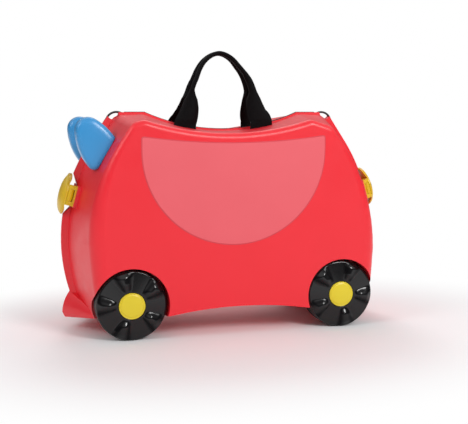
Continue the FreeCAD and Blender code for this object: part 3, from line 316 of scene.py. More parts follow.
wheel_tree = wheel_black.node_tree
wheel_shader = wheel_tree.nodes["Principled BSDF"]
flank_value = add_node(wheel_tree, "ShaderNodeAttribute", attribute_name="flank")
# Painted shade: the flanks lose their shine and read dark
flank_painted_shade = add_node(wheel_tree, "ShaderNodeMapRange", {"To Min": CREST_SHINE, "To Max": FLANK_SHINE_PAINTED_DARK})
wheel_tree.links.new(flank_value.outputs["Fac"], flank_painted_shade.inputs["Value"])
wheel_tree.links.new(flank_painted_shade.outputs["Result"], wheel_shader.inputs["Specular IOR Level"])
print("wheel shine from", FLANK_SHINE_PAINTED_DARK, "to", CREST_SHINE)

# %% [markdown]
# Pins, axles and screws are plated steel. Plating is never even, so a fine noise changes the roughness
# and the shade, and a faint bump breaks up the reflections.

# %% Steel
steel, steel_tree, steel_shader = new_finish("steel", roughness=0.3, Metallic=1.0)
drift_colour(steel_tree, steel_shader, colour(176, 178, 182), colour(160, 160, 162), scale=60.0)
drift_gloss(steel_tree, steel_shader, low=0.22, high=0.4, scale=400.0)
add_grain(steel_tree, steel_shader, scale=2200.0, strength=0.12, depth_mm=0.03)
print("steel ready")

# %% [markdown]
# Webbing is woven: thick warp ribs run along the strap and the weft dips between them. Two waves on
# the strap's own UV map, laid out in metres, make the ribs and the dips, and a little distortion of
# the waves frays them. At scale 1 a wave texture has 3.18 bands to the metre.

# %% Webbing
RIB_MM = 1.7
RIB_WOBBLE = 0.6
PICK_MM = 1.1
PICK_WOBBLE = 0.8
BANDS_AT_SCALE_ONE = 3.18
WEAVE_STRENGTH = 0.6
WEAVE_DEPTH_MM = 0.4
DARK_THREAD = (3, 2, 3)
PALE_THREAD = (11, 9, 11)

webbing, web_tree, web_shader = new_finish("webbing", 0.6, Specular_IOR_Level=0.08, Sheen_Weight=0.02)
strap_map = add_node(web_tree, "ShaderNodeUVMap", uv_map="strap")
weave = add_node(web_tree, "ShaderNodeMath", operation="MULTIPLY")
for socket, direction, pitch, wobble in ((0, "X", RIB_MM, RIB_WOBBLE), (1, "Y", PICK_MM, PICK_WOBBLE)):
    wave_inputs = {"Scale": 1 / (pitch * MM) / BANDS_AT_SCALE_ONE, "Distortion": wobble}
    wave = add_node(web_tree, "ShaderNodeTexWave", wave_inputs, wave_type="BANDS", bands_direction=direction)
    web_tree.links.new(strap_map.outputs["UV"], wave.inputs["Vector"])
    web_tree.links.new(wave.outputs["Fac"], weave.inputs[socket])
thread = add_node(web_tree, "ShaderNodeMix", data_type="RGBA")
thread.inputs["A"].default_value = colour(*DARK_THREAD)
thread.inputs["B"].default_value = colour(*PALE_THREAD)
web_tree.links.new(weave.outputs["Value"], thread.inputs["Factor"])
web_tree.links.new(thread.outputs["Result"], web_shader.inputs["Base Color"])
web_bump = add_node(web_tree, "ShaderNodeBump", {"Strength": WEAVE_STRENGTH, "Distance": WEAVE_DEPTH_MM * MM})
web_tree.links.new(weave.outputs["Value"], web_bump.inputs["Height"])
web_tree.links.new(web_bump.outputs["Normal"], web_shader.inputs["Normal"])
print("webbing ready")

# %% [markdown]
# ## Carrying the solids over
# Solids that keep their shape take a finish by a word in their name, and the first word that fits
# counts. Anything that isn't shown from outside, such as an axle or an anchor bar, still gets its own,
# because the case opens.

# %% Finishes for the solids
NODE_FINISHES = (
    ("screw", steel), ("pin", steel), ("shell", shell_red), ("panel", panel_frost), ("seam_seal", seal_grey),
    ("horn", horn_blue), ("tow_loop", loop_black), ("hub_cap", cap_yellow), ("wheel", wheel_black),
    ("clasp_base", clasp_yellow), ("clasp_lever", clasp_yellow), ("keeper", clasp_yellow),
    ("handle_bars", anchor_black), ("washer", washer_white), ("handle", webbing), ("axle", steel),
    ("push_nut", steel),
)


def dress(piece, *finishes):
    """Give a piece its finishes, in the order of its material slots."""
    piece.data.materials.clear()
    for finish in finishes:
        piece.data.materials.append(finish)


for name, solid in nodes.items():
    matches = [finish for word, finish in NODE_FINISHES if word in name]
    dress(solid, matches[0])
print("solids dressed:", len(nodes))

# %% [markdown]
# ## Wheels
# Each wheel is a glossy turned form with five raised petals on its face. A petal widens from the hub
# to the rim and falls off at the edge. Spinning an outline gives the turned form, with close rings
# across the face that the petals need later. Two fine grooves run round the tread, and the back is
# hollow round a boss for the axle.

# %% Arcs and soft steps
def arc_points(centre, radius, start_degrees, end_degrees, count):
    """Points along an arc in the outline's plane."""
    points = []
    for step in range(count + 1):
        angle = math.radians(start_degrees + (end_degrees - start_degrees) * step / count)
        points.append((centre[0] + radius * math.cos(angle), centre[1] + radius * math.sin(angle)))
    return points


def ease(value, low, high):
    """A soft step from 0 at a low value to 1 at a high one."""
    share = min(max((value - low) / (high - low), 0.0), 1.0)
    return share * share * (3 - 2 * share)


print("half way up a soft step:", ease(0.5, 0.0, 1.0))

# %% Wheel outline
WHEEL_RADIUS = 47.0
WHEEL_BACK = 62.0
WHEEL_FACE = 98.4
WHEEL_WIDTH = WHEEL_FACE - WHEEL_BACK
WHEEL_STEPS = 240
BORE_RADIUS = 4.2
POCKET_RADIUS = 9.1
POCKET_DEPTH = 9.5
CAP_RADIUS = 17.6
CAP_SEAT = CAP_RADIUS + 0.25
CAP_SEAT_DEPTH = 4.0
CAP_SEAT_BEVEL = 0.5
FACE_FALL = 2.6
FACE_EDGE = 43.6
FACE_RINGS = 30
FACE_ROUND = 3.4
GROOVE = ((47.0, 2.6), (46.7, 2.2), (46.3, 2.0), (46.3, 0.6), (46.7, 0.4), (47.0, 0.0))
GROOVE_HEIGHTS = (22.4, 12.4)
TREAD_FOOT = 9.0
BACK_ROUND = 3.0
BACK_ROUND_HEIGHT = 6.0
HOLLOW_RADIUS = 42.5
HOLLOW_MOUTH = 4.0
HOLLOW_FLOOR = WHEEL_WIDTH - 15.5
BOSS_RADIUS = 11.0
BOSS_BEVEL = 0.4

wheel_outline = [(BORE_RADIUS, WHEEL_WIDTH - POCKET_DEPTH), (POCKET_RADIUS, WHEEL_WIDTH - POCKET_DEPTH),
                 (POCKET_RADIUS, WHEEL_WIDTH - CAP_SEAT_DEPTH), (CAP_SEAT, WHEEL_WIDTH - CAP_SEAT_DEPTH),
                 (CAP_SEAT, WHEEL_WIDTH - CAP_SEAT_BEVEL)]
for step in range(FACE_RINGS + 1):
    radius = CAP_SEAT + CAP_SEAT_BEVEL + (FACE_EDGE - CAP_SEAT - CAP_SEAT_BEVEL) * step / FACE_RINGS
    share = (radius - CAP_SEAT) / (FACE_EDGE - CAP_SEAT)
    wheel_outline.append((radius, WHEEL_WIDTH - FACE_FALL * share))
wheel_outline += arc_points((FACE_EDGE, WHEEL_WIDTH - FACE_FALL - FACE_ROUND), FACE_ROUND, 80, 0, 6)
for height in GROOVE_HEIGHTS:
    wheel_outline += [(radius, height + rise) for radius, rise in GROOVE]
wheel_outline.append((WHEEL_RADIUS, TREAD_FOOT))
wheel_outline += arc_points((WHEEL_RADIUS - BACK_ROUND, BACK_ROUND_HEIGHT), BACK_ROUND, 0, -80, 5)
wheel_outline += [(HOLLOW_RADIUS, HOLLOW_MOUTH), (HOLLOW_RADIUS, HOLLOW_FLOOR), (BOSS_RADIUS, HOLLOW_FLOOR),
                  (BOSS_RADIUS, BOSS_BEVEL), (BOSS_RADIUS - BOSS_BEVEL, 0.0), (BORE_RADIUS, 0.0)]
wheel_outline.append(wheel_outline[0])
print("wheel outline:", len(wheel_outline), "points")

# %% [markdown]
# The petals could be made as separate pieces, but on a moulded wheel they flow into the face. So the
# points of the turned face are lifted to the height of the nearest petal. How much a place is a flank
# goes into the attribute that the finish reads, where a lower shine paints the flanks dark as painted
# shade, so that only the crests catch the light.

# %% Petals on the face
PETAL_COUNT = 5
PETAL_START = 18.6
PETAL_CREST = 31.0
PETAL_FALL = 38.0
PETAL_END = 46.5
PETAL_END_DROP = 0.8
PETAL_RISE = 4.6
PETAL_ROUNDNESS = 1.5
PETAL_HALF_WIDTHS = (5.0, 16.5)
FLANK_BEGINS = (0.1, 0.6)
FLANK_ENDS = (0.65, 1.0)
FLANK_FROM_HUB = 5.0


def petal(across, along):
    """How far the face rises at a place in the wheel's plane, in millimetres, and how much it is a flank."""
    radius = math.hypot(across, along)
    slice_angle = 2 * math.pi / PETAL_COUNT
    off = (math.atan2(along, across) + slice_angle / 2) % slice_angle - slice_angle / 2
    out = min(max((radius - PETAL_START) / (PETAL_END - PETAL_START), 0.0), 1.0)
    half = PETAL_HALF_WIDTHS[0] + (PETAL_HALF_WIDTHS[1] - PETAL_HALF_WIDTHS[0]) * out
    side = min(abs(radius * math.sin(off)) / half, 1.0)
    climb = ease(radius, PETAL_START, PETAL_CREST)
    drop = 1 - PETAL_END_DROP * ease(radius, PETAL_FALL, PETAL_END)
    flank = ease(side, *FLANK_BEGINS) * (1 - ease(side, *FLANK_ENDS))
    flank *= ease(radius, PETAL_START, PETAL_START + FLANK_FROM_HUB)
    return PETAL_RISE * climb * drop * (1 - side * side) ** PETAL_ROUNDNESS, flank


print("highest rise of a petal:", round(petal(PETAL_CREST, 0.0)[0], 2), "mm")

# %% Lift the petals
FACE_FLOOR = WHEEL_WIDTH - 10.0
LIFT_RUN = 7.0
TREAD_DEPTH = 1.2

wheel_master = turned_piece("wheel_master", wheel_outline, WHEEL_STEPS)
flanks = wheel_master.data.attributes.new("flank", "FLOAT", "POINT")
for point in wheel_master.data.vertices:
    radius = math.hypot(point.co.x, point.co.y) / MM
    height = point.co.z / MM
    if radius > PETAL_START and height > FACE_FLOOR:
        share = min((height - FACE_FLOOR) / LIFT_RUN, 1.0)
        lift, flank = petal(point.co.x / MM, point.co.y / MM)
        point.co.z += share * lift * MM
        flanks.data[point.index].value = flank
dress(wheel_master, wheel_black, tread_black)
for face in wheel_master.data.polygons:
    spot = face.center / MM
    outer = math.hypot(spot.x, spot.y) > WHEEL_RADIUS - TREAD_DEPTH
    face.material_index = 1 if outer or spot.z < FACE_FLOOR else 0
smooth(wheel_master, degrees=50)
print("wheel faces:", len(wheel_master.data.polygons))

# %% [markdown]
# ## Hub caps
# The yellow cap is a shallow dome inside a fine raised ring. It snaps into the middle of the wheel.
# It is turned from an outline, as the wheel is.

# %% Hub cap outline
CAP_DOME = 1.8
CAP_FIELD = 15.2
CAP_FIELD_FALL = 0.9
CAP_FIELD_RINGS = 8
CAP_STEPS = 96
CAP_RING = ((15.5, 0.55), (15.9, 0.5), (16.2, 0.8), (16.6, 0.95), (17.1, 0.8), (17.45, 0.3), (17.55, -0.4))
CAP_SKIRT = ((17.55, -3.9), (16.0, -3.9), (16.0, -1.3), (0.0, -1.3))

cap_outline = [(0.0, CAP_DOME)]
for step in range(1, CAP_FIELD_RINGS + 1):
    share = step / CAP_FIELD_RINGS
    cap_outline.append((CAP_FIELD * share, CAP_DOME - CAP_FIELD_FALL * share ** 2))
cap_outline += CAP_RING + CAP_SKIRT
cap_master = turned_piece("cap_master", cap_outline, CAP_STEPS)
dress(cap_master, cap_yellow)
smooth(cap_master, degrees=45)
print("cap faces:", len(cap_master.data.polygons))

# %% [markdown]
# The four wheels are copies of one wheel, each turned as it happened to stop. Local Z points out of
# the face, so a quarter turn about X sends it to the near side or to the far side.

# %% Place wheels and caps
WHEEL_STOPS = {"near_front": 34.0, "near_rear": 65.0, "far_front": 12.0, "far_rear": 50.0}
WHEEL_BASE_HALF = 147.0

for corner, stop in WHEEL_STOPS.items():
    side = -1 if corner.startswith("near") else 1
    end = -1 if corner.endswith("front") else 1
    facing = Matrix.Rotation(math.radians(-90 * side), 4, "X")
    spin = Matrix.Rotation(math.radians(stop), 4, "Z")
    hub = Vector((end * WHEEL_BASE_HALF, side * WHEEL_BACK, WHEEL_RADIUS)) * MM
    cap_spot = Vector((end * WHEEL_BASE_HALF, side * WHEEL_FACE, WHEEL_RADIUS)) * MM
    wheel = settle(copy_piece(wheel_master, corner + "_wheel_made"), Matrix.Translation(hub) @ facing @ spin)
    cap = settle(copy_piece(cap_master, corner + "_cap_made"), Matrix.Translation(cap_spot) @ facing)
    for piece, node, slot in ((wheel, "_wheel", "black_wheel"), (cap, "_hub_cap", "yellow_trim")):
        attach(piece, corner + "_roller")
        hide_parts(corner + node)
for master in (wheel_master, cap_master):
    bpy.data.objects.remove(master)
print("wheels placed:", len(WHEEL_STOPS))

# %% [markdown]
# ## Clasp lids
# Each clasp is worked by a round lid, a full dome that turns in at a thick lip. It covers the plain
# disc of the solid lever and moves with it. A spun outline gives the dome.

# %% Lid outline
LID_STEPS = 144
LID_UNDERSIDE = 8.3
LID_LIP = 6.3
LID_DOME = ((0.0, 17.6), (8.0, 17.2), (14.0, 16.4), (19.0, 15.1), (23.0, 13.4), (25.8, 11.6), (27.6, 9.9),
            (28.7, 8.6), (29.0, 7.7), (28.7, 6.9), (27.9, 6.4))
LID_TURN_IN = ((26.2, LID_LIP), (25.4, 6.6), (24.9, 7.3), (24.5, LID_UNDERSIDE), (0.0, LID_UNDERSIDE))

lid_master = turned_piece("lid_master", LID_DOME + LID_TURN_IN, LID_STEPS)
dress(lid_master, clasp_yellow)
print("lid faces:", len(lid_master.data.polygons))

# %% [markdown]
# Where the bracket stands, the lip is cut away, and at the hinge the lid's edge is flat, so that the
# lid can swing right over. Each lid leans with the end of the case that it sits on.

# %% Place the lids
LID_PLACE = (-3.0, 0.8)
LID_HINGE_EDGE = 25.2
BRACKET_HALF = 14.6
BRACKET_RUN = 8.0
CLASP_SPOT = (213.83, 187.0)
CLASP_LEAN = math.radians(16.06)

for end, side in (("front", -1), ("rear", 1)):
    lid = copy_piece(lid_master, end + "_clasp_lid")
    for point in lid.data.vertices:
        across = point.co.x / MM + LID_PLACE[0]
        along = point.co.y / MM + side * LID_PLACE[1]
        height = point.co.z / MM
        if across > 0:
            lip = ease(abs(along), BRACKET_HALF, BRACKET_HALF + BRACKET_RUN)
            height = max(height, LID_UNDERSIDE - lip * (LID_UNDERSIDE - LID_LIP))
        point.co = Vector((min(across, LID_HINGE_EDGE), along, height)) * MM
    slope = Vector((math.sin(CLASP_LEAN), 0, -side * math.cos(CLASP_LEAN)))
    outward = Vector((side * math.cos(CLASP_LEAN), 0, math.sin(CLASP_LEAN)))
    axes = Matrix((Vector((0, -1, 0)), slope, outward)).transposed().to_4x4()
    spot = Vector((side * CLASP_SPOT[0], 0, CLASP_SPOT[1])) * MM
    settle(lid, Matrix.Translation(spot) @ axes)
    smooth(lid, degrees=40)
    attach(lid, end + "_clasp")
bpy.data.objects.remove(lid_master)
print("clasp lids placed")

# %% [markdown]
# ## Horns
# A horn is a fat blue drop that a child holds on to. Its outline is three small arcs joined by three
# wide ones, each touching its neighbours, so no corner shows. Points at even distances along it make
# even faces later.

# %% Outline of three lobes
HORN_LOBES = ((-195.9, 276.5, 17.3), (-189.4, 232.4, 8.0), (-169.8, 263.0, 9.3))
HORN_SIDE_RADIUS = 80.0
HORN_POINTS = 112
ARC_STEPS = 60
TINY = 1e-9


def wide_arcs(lobes, side_radius):
    """Arcs of (centre, radius, start, end) that join each circle to the next and touch both."""
    arcs = []
    centres = [Vector(lobe[:2]) for lobe in lobes]
    for number, lobe in enumerate(lobes):
        following = (number + 1) % len(lobes)
        first, last = centres[number], centres[following]
        to_first, to_last = side_radius - lobe[2], side_radius - lobes[following][2]
        span = last - first
        along = (to_first ** 2 - to_last ** 2 + span.length ** 2) / (2 * span.length)
        inwards = math.sqrt(to_first ** 2 - along ** 2)
        ahead = span.normalized()
        bow = first + ahead * along + Vector((-ahead.y, ahead.x)) * inwards
        arcs.append((bow, side_radius, first - bow, last - bow))
    return arcs


def even_points(rough, count):
    """Points at even distances along a closed line of many short runs."""
    following = rough[1:] + rough[:1]
    lengths = [(there - here).length for here, there in zip(rough, following)]
    stride = sum(lengths) / count
    points, walked, target = [], 0.0, 0.0
    for here, there, length in zip(rough, following, lengths):
        while target < walked + length - TINY and len(points) < count:
            points.append(here.lerp(there, (target - walked) / length))
            target += stride
        walked += length
    return points


def bowed_outline(lobes, side_radius, count):
    """Evenly spaced points round three circles joined by wide arcs."""
    arcs = wide_arcs(lobes, side_radius)
    rough = []
    for number, lobe in enumerate(lobes):
        lobe_centre = Vector(lobe[:2])
        before, after = lobe_centre - arcs[number - 1][0], lobe_centre - arcs[number][0]
        for centre, radius, start, end in ((lobe_centre, lobe[2], before, after), arcs[number]):
            low, high = math.atan2(start.y, start.x), math.atan2(end.y, end.x)
            high += 2 * math.pi if high < low else 0.0
            for step in range(ARC_STEPS):
                angle = low + (high - low) * step / ARC_STEPS
                rough.append(centre + Vector((math.cos(angle), math.sin(angle))) * radius)
    return even_points(rough, count)


horn_outline = bowed_outline(HORN_LOBES, HORN_SIDE_RADIUS, HORN_POINTS)
horn_centre = sum(horn_outline, Vector((0, 0))) / HORN_POINTS
print("horn outline:", len(horn_outline), "points, centre", [round(value, 1) for value in horn_centre])

# %% [markdown]
# The outline is extruded and drawn in step by step, as a potter closes a form, so its edges are
# rounded and its faces are crowned. It is done twice from the middle ring, once to each side.

# %% Extrude and draw in
HORN_MIDDLE = 58.0
HORN_RINGS = ((4.0, 1.0), (8.0, 0.99), (10.4, 0.965), (12.0, 0.93), (13.2, 0.88), (14.1, 0.81), (14.8, 0.72),
              (15.3, 0.6), (15.7, 0.46), (16.0, 0.3), (16.1, 0.12))
START_RADIUS = 10 * MM

deselect_all()
bpy.ops.mesh.primitive_circle_add(vertices=HORN_POINTS, radius=START_RADIUS, fill_type="NOTHING")
horn = bpy.context.object
horn.name = "near_horn_made"
for point, spot in zip(horn.data.vertices, horn_outline):
    point.co = (spot.x * MM, -HORN_MIDDLE * MM, spot.y * MM)
middle = Vector((horn_centre.x, -HORN_MIDDLE, horn_centre.y)) * MM
start_ring = [point.index for point in horn.data.vertices]
for direction in (-1, 1):
    take(horn)
    bpy.ops.object.mode_set(mode="EDIT")
    bpy.ops.mesh.select_mode(type="VERT")
    bpy.ops.mesh.select_all(action="DESELECT")
    bpy.ops.object.mode_set(mode="OBJECT")
    for index in start_ring:
        horn.data.vertices[index].select = True
    bpy.ops.object.mode_set(mode="EDIT")
    height, size = 0.0, 1.0
    for next_height, next_size in HORN_RINGS:
        step = (0, direction * (next_height - height) * MM, 0)
        bpy.ops.mesh.extrude_region_move(TRANSFORM_OT_translate={"value": step})
        ratio = next_size / size
        bpy.ops.transform.resize(value=(ratio, 1, ratio), center_override=middle)
        height, size = next_height, next_size
    bpy.ops.mesh.edge_face_add()
    bpy.ops.object.mode_set(mode="OBJECT")
turn_outwards(horn)
apply_modifier(horn, "soften", "SUBSURF", levels=1, render_levels=1)
print("horn faces:", len(horn.data.polygons))

# %% [markdown]
# The real horn is moulded to the slope that it is screwed to. A ray from in front finds the skin of
# the shell, and every point that would be inside the case is brought to it, so the horn sits close.

# %% Seat the horn on the skin
SEAT_GAP = 0.3 * MM
RAY_START = -0.4

shell = nodes["near_shell"].data
skin = BVHTree.FromPolygons([point.co.copy() for point in shell.vertices],
                            [face.vertices[:] for face in shell.polygons])
moved = 0
for point in horn.data.vertices:
    start = Vector((RAY_START, point.co.y, point.co.z))
    hit = skin.ray_cast(start, Vector((1, 0, 0)))[0]
    if hit is not None and point.co.x > hit.x - SEAT_GAP:
        point.co.x = hit.x - SEAT_GAP
        moved += 1
dress(horn, horn_blue)
smooth(horn, degrees=60)
far_horn = mirrored_copy(horn, "far_horn_made")
for piece, side in ((horn, "near"), (far_horn, "far")):
    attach(piece, side + "_half")
    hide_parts(side + "_horn")
print("horn points seated:", moved)

# %% [markdown]
# ## Side panels
# The bare panel is a thin film with a pressed border. Its outline is an arc below and a sagging arc
# above, with the top corners rounded off. One corner is drawn, and the other mirrors it.

# %% Panel outline
PANEL_RADIUS = 126.4
PANEL_BOW = 249.6
PANEL_CORNER = 269.5
PANEL_TOP = 260.5
PANEL_ROUND = 5.0
PANEL_EDGE = PANEL_RADIUS - PANEL_ROUND
FOOT_STEPS = 96
CORNER_STEPS = 6
TOP_STEPS = 48


def sag_height(across):
    """Height of the panel's top edge at a distance from its middle."""
    return PANEL_TOP + (PANEL_CORNER - PANEL_TOP) * (across / PANEL_RADIUS) ** 2


corner_start = Vector((PANEL_RADIUS, PANEL_CORNER - PANEL_ROUND))
corner_tip = Vector((PANEL_RADIUS, PANEL_CORNER))
corner_end = Vector((PANEL_EDGE, sag_height(PANEL_EDGE)))
right_corner = []
for step in range(CORNER_STEPS + 1):
    share = step / CORNER_STEPS
    right_corner.append(corner_start.lerp(corner_tip, share).lerp(corner_tip.lerp(corner_end, share), share))
panel_outline = arc_points((0.0, PANEL_BOW), PANEL_RADIUS, 180, 360, FOOT_STEPS)
panel_outline += [tuple(spot) for spot in right_corner]
for step in range(1, TOP_STEPS):
    across = PANEL_EDGE - 2 * PANEL_EDGE * step / TOP_STEPS
    panel_outline.append((across, sag_height(across)))
panel_outline += [(-spot.x, spot.y) for spot in reversed(right_corner)]
print("panel outline:", len(panel_outline), "points")

# %% [markdown]
# One flat face is drawn on the outline. Raising it and insetting it twice leaves a narrow sunk border
# round a slightly raised field, as pressing a film does. The border takes a darker red, painted shade
# for the shadow in the sunk line.

# %% Raise the panel
PANEL_MIDDLE = -6.8
PANEL_BACK = 101.9
PANEL_GAP = 0.02
PANEL_RISE = 0.22
BORDER_WIDTH = 1.0
BORDER_STEP_WIDTH = 0.5
FIELD_RISE = 0.34
FIELD_LEVEL = 0.4

deselect_all()
bpy.ops.mesh.primitive_circle_add(vertices=len(panel_outline), radius=START_RADIUS, fill_type="NGON")
panel = bpy.context.object
panel.name = "near_panel_made"
for point, (across, height) in zip(panel.data.vertices, panel_outline):
    point.co = ((across + PANEL_MIDDLE) * MM, -(PANEL_BACK + PANEL_GAP) * MM, height * MM)
take(panel)
bpy.ops.object.mode_set(mode="EDIT")
bpy.ops.mesh.select_all(action="SELECT")
bpy.ops.mesh.extrude_region_move(TRANSFORM_OT_translate={"value": (0, -PANEL_RISE * MM, 0)})
bpy.ops.mesh.inset(thickness=BORDER_WIDTH * MM, depth=0.0)
bpy.ops.mesh.inset(thickness=BORDER_STEP_WIDTH * MM, depth=0.0)
bpy.ops.transform.translate(value=(0, -FIELD_RISE * MM, 0))
turn_outwards(panel)
dress(panel, panel_frost, panel_border_painted_shade)
# Border faces take the darker red of the painted shade
for face in panel.data.polygons:
    field = len(face.vertices) > 4 and face.center.y < -(PANEL_BACK + FIELD_LEVEL) * MM
    face.material_index = 0 if field else 1
far_panel = mirrored_copy(panel, "far_panel_made")
for piece, side in ((panel, "near"), (far_panel, "far")):
    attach(piece, side + "_half")
    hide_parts(side + "_panel")
print("panel faces:", len(panel.data.polygons))

# %% [markdown]
# ## Webbing handles
# Each handle is one strap. Its ends go down through slots in the seat, and its two legs hang a little
# differently, so each has its own list of places: distance from the middle, and height above the
# slot. One smooth curve goes through both, and rows of the strap's mesh stand at even distances on it.

# %% Path of the strap
STRAP_ROWS = 181
CURVE_STEPS = 24
LEFT_PATH = (
    (55.4, -24.0), (55.2, -12.0), (53.4, -5.0), (50.8, 0.5), (48.6, 6.0), (46.7, 11.0), (44.5, 18.9),
    (43.6, 24.5), (43.0, 30.0), (42.6, 35.6), (41.9, 42.3), (40.2, 47.5), (38.0, 52.7), (35.4, 57.9),
    (33.0, 64.0), (29.8, 71.5), (25.4, 79.0), (21.2, 84.2), (15.4, 89.2), (8.2, 93.2), (0.0, 95.0),
)
RIGHT_PATH = (
    (55.4, -24.0), (55.6, -12.0), (55.6, -5.0), (54.6, 0.5), (52.4, 6.0), (50.8, 11.0), (49.5, 18.9),
    (48.8, 24.5), (48.1, 30.0), (47.4, 35.6), (46.4, 42.3), (45.0, 47.5), (43.2, 52.7), (41.0, 57.9),
    (37.0, 64.4), (31.6, 71.5), (25.4, 79.0), (21.2, 84.2), (15.4, 89.2), (8.2, 93.2),
)


def dense_curve(points):
    """Many points on a smooth curve through a list of points."""
    dense = []
    padded = [points[0] * 2 - points[1]] + list(points) + [points[-1] * 2 - points[-2]]
    for number in range(1, len(padded) - 2):
        before, start, end, after = padded[number - 1:number + 3]
        for step in range(CURVE_STEPS):
            share = step / CURVE_STEPS
            slope = (end - before) * share
            bend = (2 * before - 5 * start + 4 * end - after) * share * share
            twist = (3 * start - before - 3 * end + after) * share ** 3
            dense.append(0.5 * (2 * start + slope + bend + twist))
    dense.append(points[-1])
    return dense


def curve_through(points, count):
    """Evenly spaced points on a smooth curve through a list of points, and the curve's length."""
    dense = dense_curve(points)
    lengths = [0.0]
    for here, there in zip(dense, dense[1:]):
        lengths.append(lengths[-1] + (there - here).length)
    result, index = [], 0
    for step in range(count):
        target = lengths[-1] * step / (count - 1)
        while index < len(lengths) - 2 and lengths[index + 1] < target:
            index += 1
        share = (target - lengths[index]) / (lengths[index + 1] - lengths[index])
        result.append(dense[index].lerp(dense[index + 1], share))
    return result, lengths[-1]


left_side = [Vector((-across, height)) for across, height in LEFT_PATH]
right_side = [Vector(point) for point in RIGHT_PATH]
strap_path, strap_length = curve_through(left_side + right_side[::-1], STRAP_ROWS)
print("strap length:", round(strap_length, 1), "mm")

# %% [markdown]
# The legs are flat, and towards the top the strap is rolled on itself and sewn into a narrow grip. For
# each leg a list of (height, share) says how far it is rolled. A rolled strap is an arc in section,
# more than a full turn at the grip, which sewing then presses flatter.

# %% Section of the rolled strap
STRAP_WIDTH = 32.0
ROLL_TURNS = 1.2
LEFT_ROLL = (
    (-12.0, 0.0), (0.0, 0.2), (11.0, 0.3), (18.9, 0.355), (24.5, 0.41), (30.0, 0.48), (35.6, 0.7),
    (42.0, 1.0),
)
RIGHT_ROLL = (
    (-4.0, 0.0), (0.0, 0.06), (11.0, 0.22), (18.9, 0.3), (30.0, 0.41), (35.6, 0.53), (42.3, 0.74),
    (57.9, 0.8), (70.0, 1.0),
)
GRIP_FLAT = 0.56
GRIP_DEPTH = 0.8
SPIRAL = 0.09
LEAST_TURN = 1e-3


def roll_share(height, table):
    """How far the strap is rolled at a height above the slot, from 0 to 1."""
    if height <= table[0][0]:
        return 0.0
    for (low, start), (high, end) in zip(table, table[1:]):
        if height <= high:
            return start + (end - start) * (height - low) / (high - low)
    return 1.0


def rolled(offset, share):
    """Where a point at an offset from the strap's middle goes in the section: (in the plane, behind it)."""
    turn = 2 * math.pi * ROLL_TURNS * share
    if turn < LEAST_TURN:
        return offset, 0.0
    radius = STRAP_WIDTH / turn
    angle = offset / radius
    # A slight spiral keeps the rolled layers apart
    tight = radius * (1 - SPIRAL * share * (offset / STRAP_WIDTH + 0.5))
    across = tight * math.sin(angle)
    behind = (radius - tight * math.cos(angle)) * GRIP_DEPTH
    pressed = share ** 3
    middle = STRAP_WIDTH / (2 * math.pi * ROLL_TURNS) * GRIP_DEPTH * pressed
    squeeze = 1 - (1 - GRIP_FLAT) * pressed
    return across * squeeze, behind - middle


print("edge of the flat strap:", rolled(STRAP_WIDTH / 2, 0.0), "mm")

# %% [markdown]
# A flat grid is the strap before sewing. Every point of it is put where the rolled strap has it, and
# above the slot the whole handle leans to one side. The UV map stays that of the flat strap, stretched
# to its real size, so the weave follows the roll.

# %% Roll the strap
HANDLE_SHIFT = -4.0
HANDLE_SEAT = 25.0
FOLD_HEIGHT = 290.0
HANDLE_LEAN_DEGREES = 12.4
STRAP_THICKNESS = 1.8
STRAP_COLUMNS = 25

deselect_all()
bpy.ops.mesh.primitive_grid_add(x_subdivisions=STRAP_COLUMNS - 1, y_subdivisions=STRAP_ROWS - 1, size=1.0,
                                calc_uvs=True)
handle = bpy.context.object
handle.name = "near_handle_made"
handle.data.uv_layers[0].name = "strap"
lean = Matrix.Rotation(math.radians(-HANDLE_LEAN_DEGREES), 4, "X")
foot = Vector((HANDLE_SHIFT, -HANDLE_SEAT, FOLD_HEIGHT))
for point in handle.data.vertices:
    row = round((point.co.y + 0.5) * (STRAP_ROWS - 1))
    offset = point.co.x * STRAP_WIDTH
    before = strap_path[max(row - 1, 0)]
    after = strap_path[min(row + 1, STRAP_ROWS - 1)]
    along = (after - before).normalized()
    table = LEFT_ROLL if strap_path[row].x < 0 else RIGHT_ROLL
    across, behind = rolled(offset, roll_share(strap_path[row].y, table))
    spot = strap_path[row] + Vector((along.y, -along.x)) * across
    flat = Vector((spot.x, behind, spot.y))
    if spot.y > 0:
        flat = lean @ flat
    point.co = (foot + flat) * MM
for loop in handle.data.uv_layers["strap"].data:
    loop.uv = (loop.uv[0] * STRAP_WIDTH * MM, loop.uv[1] * strap_length * MM)
apply_modifier(handle, "thickness", "SOLIDIFY", thickness=STRAP_THICKNESS * MM, offset=0.0, use_rim=True)
dress(handle, webbing)
smooth(handle, degrees=50)
print("strap faces:", len(handle.data.polygons))

# %% [markdown]
# The far handle mirrors the near one. Both keep the places where they were made, and the solid
# handles and their tails are hidden.

far_handle = mirrored_copy(handle, "far_handle_made")
for piece, side, sign in ((handle, "near", -1), (far_handle, "far", 1)):
    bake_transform(piece)
    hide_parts(side + "_handle", side + "_handle_tails")
print("handles hung")

# %% [markdown]
# ## Stage and light
# The picture was taken on white. The floor is a pale plane that catches the shadow near the case and
# fades to the white of the background further out. The fade is for rays from the camera and for
# reflections, so the white adds no soft light to the case.

# %% Floor
FLOOR_SIZE = 8.0
FADE_START = 0.2
FADE_END = 0.4
FADE_PLACE = {"Scale": (0.7, 1.0, 1.0), "Location": (0.0, 0.05, 0.0)}
PAPER_COLOUR = (0.86, 0.85, 0.86, 1.0)
WHITE = (1.0, 1.0, 1.0, 1.0)

